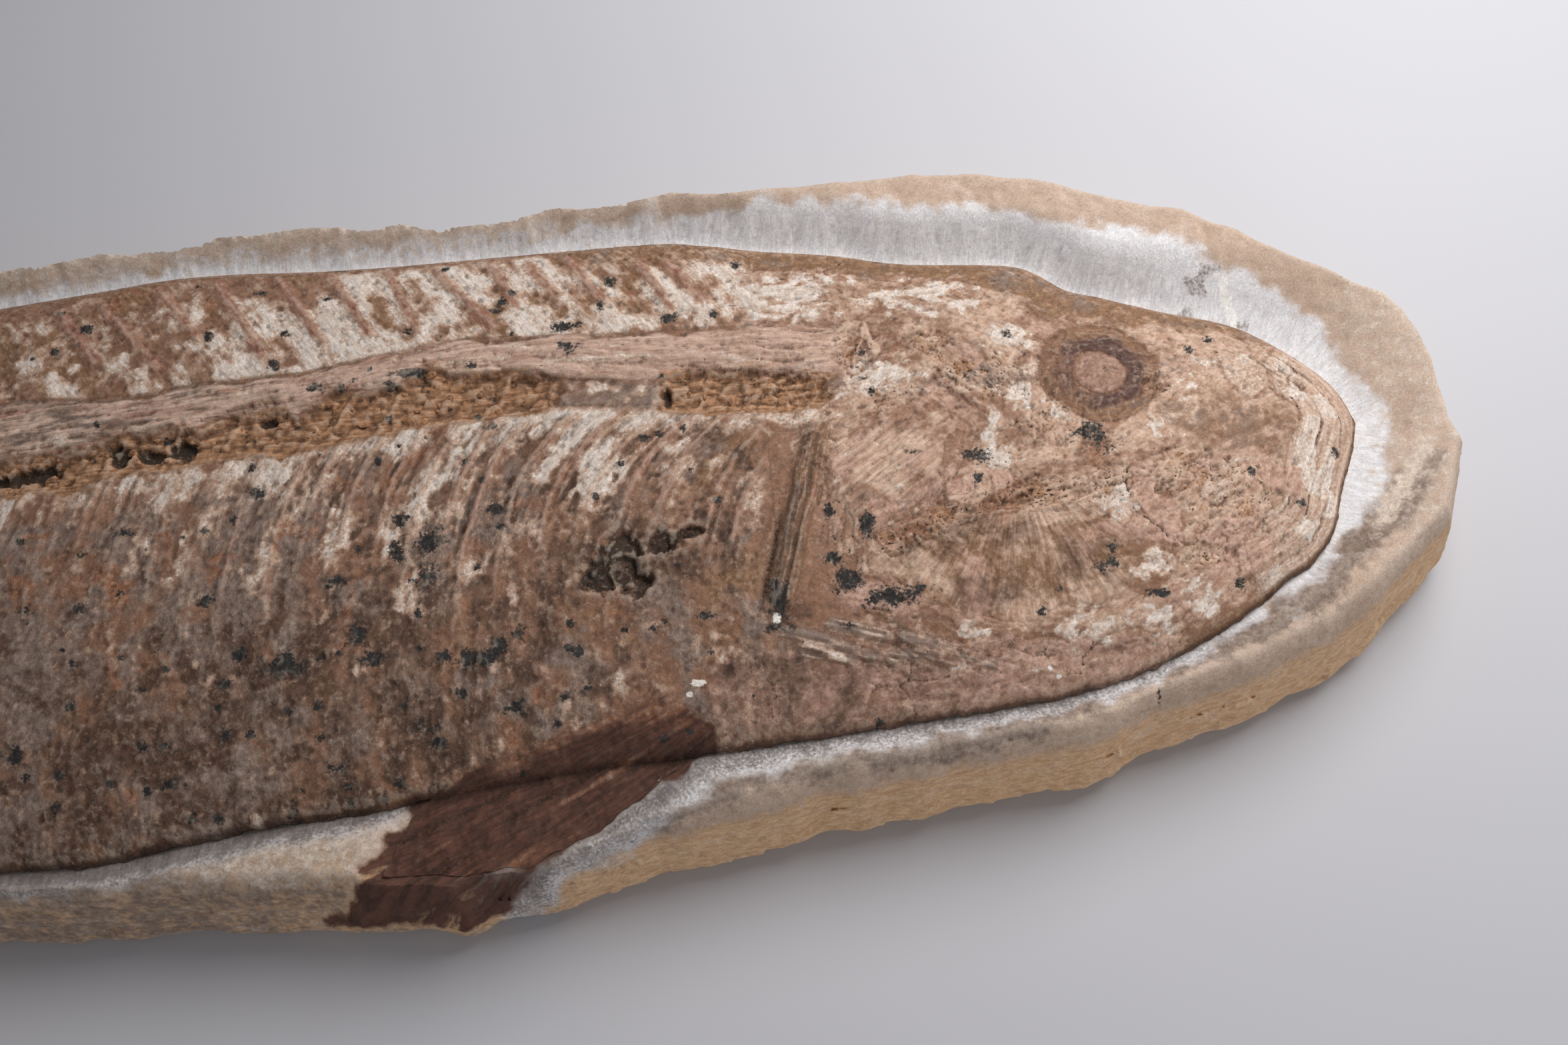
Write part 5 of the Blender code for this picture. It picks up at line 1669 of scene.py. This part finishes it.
rim = places[max(borders(triangles), key=len)]
FISH_EDGE = evenly(np.vstack([rim, rim[:1]]), 3.0, closed=True)
rows = slab_rows()
print("flank:", len(rows), "rows of", len(rows[0]), "points")

# %% [markdown]
# ## The top of the slab
#
# The top sheet gets the marks of the preparator's needle: short strokes that point at the fish,
# cut into the pale groove. Its hole is a little smaller than the fish, so that the stone runs
# under the edge of the bone and no gap shows.

# %% Build the slab's top
PREP_ZONE = (
    (-8, 135), (35, 138), (91, 143), (150, 144), (209, 142), (253, 143), (297, 144), (356, 141),
    (400, 135), (443, 128), (499, 111), (526, 99), (552, 83), (572, 61), (584, 40), (592, 21),
    (590, 5), (586, -9), (579, -19), (571, -26), (561, -36), (552, -46), (540, -54), (524, -64),
    (500, -74), (476, -84), (456, -90), (436, -95), (414, -98), (388, -101), (362, -103),
    (335, -105), (312, -109), (299, -112), (283, -119), (267, -129), (251, -134), (231, -146),
    (215, -151), (205, -148), (200, -120), (189, -110), (169, -116), (154, -119), (128, -122),
    (90, -128), (64, -129), (26, -132), (-8, -131),
)
DARK_BAND = (
    (604, -14), (592, -26), (571, -42), (553, -58), (542, -65), (523, -74), (495, -81), (467, -92),
    (440, -100), (413, -107), (387, -109), (361, -111), (334, -113), (309, -116), (282, -127),
    (262, -138), (282, -110), (310, -98), (420, -88), (500, -66), (560, -30), (590, -5),
)
FIN_STAIN = (
    (176, -102), (185, -114), (174, -119), (171, -128), (164, -131), (162, -138), (155, -144),
    (146, -154), (185, -160), (203, -154), (213, -151), (250, -128), (299, -97), (240, -90),
)
PALE_PATCH = (
    (190, -112), (186, -120), (176, -127), (168, -133), (153, -136), (128, -137), (102, -133),
    (80, -131), (110, -124), (150, -116),
)
VEIN, CRACK = ((535, 86), (536, 76), (540, 66)), ((477, -90), (478, -94), (477, -98))
NOSE_PALE, NOSE_BAND = ((603, 3), (591, -12), (578, -28)), ((606, -3), (597, -13), (587, -25))
SMUDGES = ((523, 85, 6, 5), (516, 74, 6, 4), (529, 91, 5, 3), (541, 67, 4, 3))
SLAB_ZONES = ((-660, TAIL_CUT, 3.0), (TAIL_CUT, 660, 1.25))
NEEDLE_DEPTH = 0.06


def stone_stains(places, z, from_fish, fish_arc, from_edge, edge_arc):
    """Where the slab is prepared, weathered, stained or veined, where shade and light are painted on it, and how
    its grain runs.
    """
    x, y = places.T
    field = {"places": places, "x": x, "y": y, "across": x, "along": 8 * y, "height": 0 * x}
    field["ragged_small"] = rough(x, y, 4.0, 85)
    field.update({layer[0]: np.zeros(len(x)) for layer in STONE_LAYERS})
    rear = 1 - ease(x, -15, 5)
    top = ease(z, 44, 50 - 5 * rear)
    groove = between(12.0, 16.0, y)
    prep = zone(field, PREP_ZONE, 14.0, 4.0, 9.0, 86) * (1 - rear)
    prep = np.maximum(prep, rear * (1 - ease(from_fish + 2.5 * rough(x, y, 9, 87), groove - 2, groove + 3)))
    narrow = (y < -60) * (1 - ease(x, 150, 200)) * ease(from_fish + 2.5 * field["ragged_small"], 8, 13)
    prep = prep * (1 - narrow)
    dark = zone(field, DARK_BAND, 8.0, 3.0, 9.0, 88) * (1 - 0.75 * prep)
    shelf = bell(from_fish - 15, 5) * (y < 0) * rear
    mark(field, "band", np.maximum(dark, 0.7 * shelf) * top)
    mark(field, "tan", (1 - ease(z + 3 * rough(x, y, 14, 89), 36, 52)) * np.where(y > 0, 0.25, 0.95))
    mark(field, "prep", prep)
    # Painted shade on the prepared groove of the belly side, stronger towards the tail.
    belly = ease(-y, 55, 80) * prep
    mark(field, "smudge", belly * (0.74 + 0.32 * (1 - ease(x, 150, 320)) + 0.2 * rough(x, y, 12, 147)))
    # Painted shade: the belly side is darker towards the tail.
    west = (y < -60) * (rear < 0.5) * (1 - ease(x, 120, 320))
    mark(field, "tan", 0.8 * narrow)
    mark(field, "band", west * (0.62 + 0.3 * rough(x, y, 9, 165)))
    mark(field, "pale", 0.4 * ease(x, 560, 590) * top)
    # Painted light: the back's crest is lighter towards the tail.
    mark(field, "pale", 0.5 * ease(y, 90, 110) * (1 - ease(x, 200, 380)) * top)
    mark(field, "pale", 0.55 * zone(field, PALE_PATCH, 8.0, 4.0, 9.0, 90) * top)
    for line, name, half in ((NOSE_PALE, "pale", 4.0), (NOSE_BAND, "band", 4.5)):
        mark(field, name, 0.8 * bell(distance(places, line, False, 15), half))
    vein = bell(distance(places, VEIN, False, 15), 2.0)
    mark(field, "vein", vein * ease(field["ragged_small"] + 0.8, 0, 0.5))
    for patch in SMUDGES:
        mark(field, "smudge", 0.6 * blob(field, *patch, ragged=0.9))
    crack = bell(distance(places, CRACK, False, 10), 0.6) * top
    mark(field, "spot", np.maximum(0.55 * crack, blob(field, 474, -106, 1.6, 1.2) * top))
    comb(field, 1 - top, z, 3 * edge_arc)
    comb(field, (from_fish < 16) * (prep > 0.5), fish_arc, 1.3 * from_fish)
    stained = np.maximum(zone(field, FIN_STAIN, 5.0, 5.0, 8.0, 91), 0.8 * blob(field, 150, -150, 22, 6))
    stained = stained * ease(z + 4 * field["ragged_small"], 13, 22)
    coarse = strands(field, stained)[0]
    fade(field, "prep pale band", stained)
    mark(field, "stain", stained * (1 - 0.55 * ease(coarse + 0.5 * rough(x, y, 14, 150), 0.0, 1.2)))
    mark(field, "tan", 0.9 * stained)
    # Painted shade between the fin's rays on the stone.
    mark(field, "hole", 0.4 * stained * ease(-coarse, 0.5, 1.1))
    field["fibres"] = np.column_stack([field["across"], field["along"] / 8, 0 * x]) * MM
    return field, field["height"] * top - 0.6 * crack


def needle_marks(fish_arc, from_fish, prep):
    """Strokes of the preparator's needle, which point at the fish."""
    strokes = hills(fish_arc / 1.7, from_fish / 8, 1, 92)
    strokes = strokes + 0.5 * hills(fish_arc / 4.1, from_fish / 9, 1, 93)
    return NEEDLE_DEPTH * strokes * prep * (1 - ease(from_fish, 9, 18))


def slab_top(ring):
    bed = FISH_EDGE - outward(FISH_EDGE, 2) * BED_TUCK
    bed = bed[inside(bed, FISH_EDGE) & (distance(bed, FISH_EDGE) > 0.7 * BED_TUCK)]
    loops = [ring[:, :2], bed]
    loose = []
    for west, east, pitch in SLAB_ZONES:
        spots = scattered((west, -170), (east, 170), pitch * COARSER, 7)
        spots = spots[inside(spots, ring[::2, :2]) & ~inside(spots, FISH_EDGE)]
        clear = distance(spots, ring[:, :2], reach=6.0) > 0.6 * pitch
        loose.append(spots[clear & (distance(spots, FISH_EDGE, reach=6.0) > 0.3 * pitch)])
    spots, faces, made_from = triangulate(
        loops, np.concatenate(loose), lambda spots: inside(spots, loops[0]) & ~inside(spots, loops[1])
    )
    x, y = spots.T
    measures = stone_measures(spots)
    from_fish, fish_arc, from_edge, _ = measures
    height = stone_height(x, y, from_fish * ~inside(spots, FISH_EDGE), from_edge)
    on_ring = made_from[: len(ring)]
    free = ease(from_edge, 5.5, 8.0) * ease(from_fish, 0.0, 2.0)
    field, marks = stone_stains(spots, height, *measures)
    wild = free * (1 - 0.8 * field["prep"])
    height += wild * (0.7 * rough(x, y, 13, 94) + 0.5 * rough(x, y, 5, 95))
    height += 0.14 * rough(x, y, 3, 96)
    height += 0.5 * free * rough(x, y, 22, 136) + marks + needle_marks(fish_arc, from_fish, field["prep"])
    height[on_ring] = ring[:, 2]
    return spots, faces, height, field, on_ring


top_places, top_faces, top_height, top_field, on_ring = slab_top(rows[-1])
print("top:", len(top_faces), "triangles")

# %% Join the rows, the top, the bed and the back
BED_GAP, SHARP = 0.3, math.radians(65)


def make_slab():
    """One closed mesh: back, foot and flank rows, top sheet, and the bed under the fish."""
    columns = len(rows[0])
    lower = np.concatenate(rows[:-1])
    used, index = np.unique(top_faces, return_inverse=True)
    faces = index.reshape(-1, 3)
    top = np.column_stack([top_places[used], top_height[used]])
    start = len(lower)
    last = (start + np.searchsorted(used, on_ring)).tolist()
    grid = [list(range(r * columns, (r + 1) * columns)) for r in range(len(rows) - 1)] + [last]
    polygons = (faces + start).tolist()
    for below, above in zip(grid, grid[1:]):
        polygons += [
            (below[i], below[(i + 1) % columns], above[(i + 1) % columns], above[i])
            for i in range(columns)
        ]
    polygons.append(grid[0][::-1])
    hole = min(borders(faces), key=len)
    floor = top[hole].copy()
    floor[:, 2] = BED_FLOOR_Z - BED_GAP
    first, count = start + len(top), len(hole)
    polygons += [
        (start + hole[(i + 1) % count], start + hole[i], first + i, first + (i + 1) % count)
        for i in range(count)
    ]
    polygons.append(list(range(first, first + count)))
    corners = np.concatenate([lower, top, floor])
    mesh = bpy.data.meshes.new("limestone_slab")
    mesh.from_pydata((corners * MM).tolist(), [], polygons)
    low_field, _ = stone_stains(lower[:, :2], lower[:, 2], *stone_measures(lower[:, :2]))
    heights, sides = corners[:, 2], np.hypot(*corners[:, :2].T)
    halves = [((q[0], q[1], q[2]), (q[0], q[2], q[-1])) for q in polygons if len(q) < 5]
    triangles = np.array(halves).reshape(-1, 3)
    # How far each place stands out from its neighbours; from this the material paints shade into the recesses and
    # a highlight onto the ridges.
    proud = 0.5 + 0.5 * (sides - smoothed(sides, triangles, 5))
    relief = np.where(heights < 45, proud, 0.5 + (heights - smoothed(heights, triangles, 5)) / 0.8)
    store(mesh, "relief", np.clip(relief, 0, 1))
    for title in [layer[0] for layer in STONE_LAYERS] + ["fibres"]:
        on_top = top_field[title][used]
        store(mesh, title, np.concatenate([low_field[title], on_top, on_top[hole]]))
    mesh.shade_smooth()
    mesh.set_sharp_from_angle(angle=SHARP)
    mesh.materials.append(limestone)
    mesh.validate()
    print("limestone_slab", sum(len(p) - 2 for p in polygons), "triangles")
    return put_in_scene("limestone_slab", mesh)


limestone_slab = make_slab()

# %% [markdown]
# ## Floor and light
#
# The floor is plain and pale. The light is that of a display case: one wide lamp above the back
# of the fish and a little to the right, low enough to rake the relief, a weaker lamp on the
# belly's side, and a dim sky that fills the shadows.

# %% Floor and lights
FLOOR_SIZE, FLOOR_DROP = 8.0, 0.0002


def plain(name, colour, roughness):
    material = bpy.data.materials.new(name)
    material.use_nodes = True
    shader = material.node_tree.nodes["Principled BSDF"]
    shader.inputs["Base Color"].default_value = linear(colour)
    shader.inputs["Roughness"].default_value = roughness
    return material


def lamp(name, place, target, size, watts, colour):
    data = bpy.data.lights.new(name, "AREA")
    data.shape, data.size, data.energy = "DISK", size, watts
    data.color = linear(colour)[:3]
    aim = (Vector(target) - Vector(place)).to_track_quat("-Z", "Y").to_matrix().to_4x4()
    put_in_scene(name, data).matrix_world = Matrix.Translation(place) @ aim


half = FLOOR_SIZE / 2
floor_mesh = bpy.data.meshes.new("floor")
floor_mesh.from_pydata(
    [(x, y, -FLOOR_DROP) for x, y in ((-half, -half), (half, -half), (half, half), (-half, half))],
    [], [(0, 1, 2, 3)],
)
floor_mesh.materials.append(plain("matt pale board", "#CED0D6", 0.9))
floor = put_in_scene("floor", floor_mesh)

lamp("key light", (0.74, 0.42, 0.76), (0.42, 0.0, 0.03), 0.7, 8.5, "#FFFBF8")
lamp("fill light", (1.0, -1.3, 0.32), (0.42, -0.1, 0.03), 0.9, 4.2, "#FFF6EE")
world = bpy.data.worlds.new("studio")
world.use_nodes = True
background = world.node_tree.nodes["Background"]
background.inputs["Color"].default_value = linear("#F0EFF2")
background.inputs["Strength"].default_value = 0.255
bpy.context.scene.world = world
bpy.context.scene.view_settings.view_transform = "Standard"
bpy.context.scene.view_settings.gamma = 0.9

# %% [markdown]
# ## The pieces on the model
#
# Each piece rides on the one body, and the CAD part that it stands for is hidden. Each piece
# already holds its material in a slot.

# %% Tie the pieces to the model
for piece in fish_pieces:
    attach(piece, "root")
    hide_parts("fossil_fish")
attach(limestone_slab, "root")
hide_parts("stone_matrix")
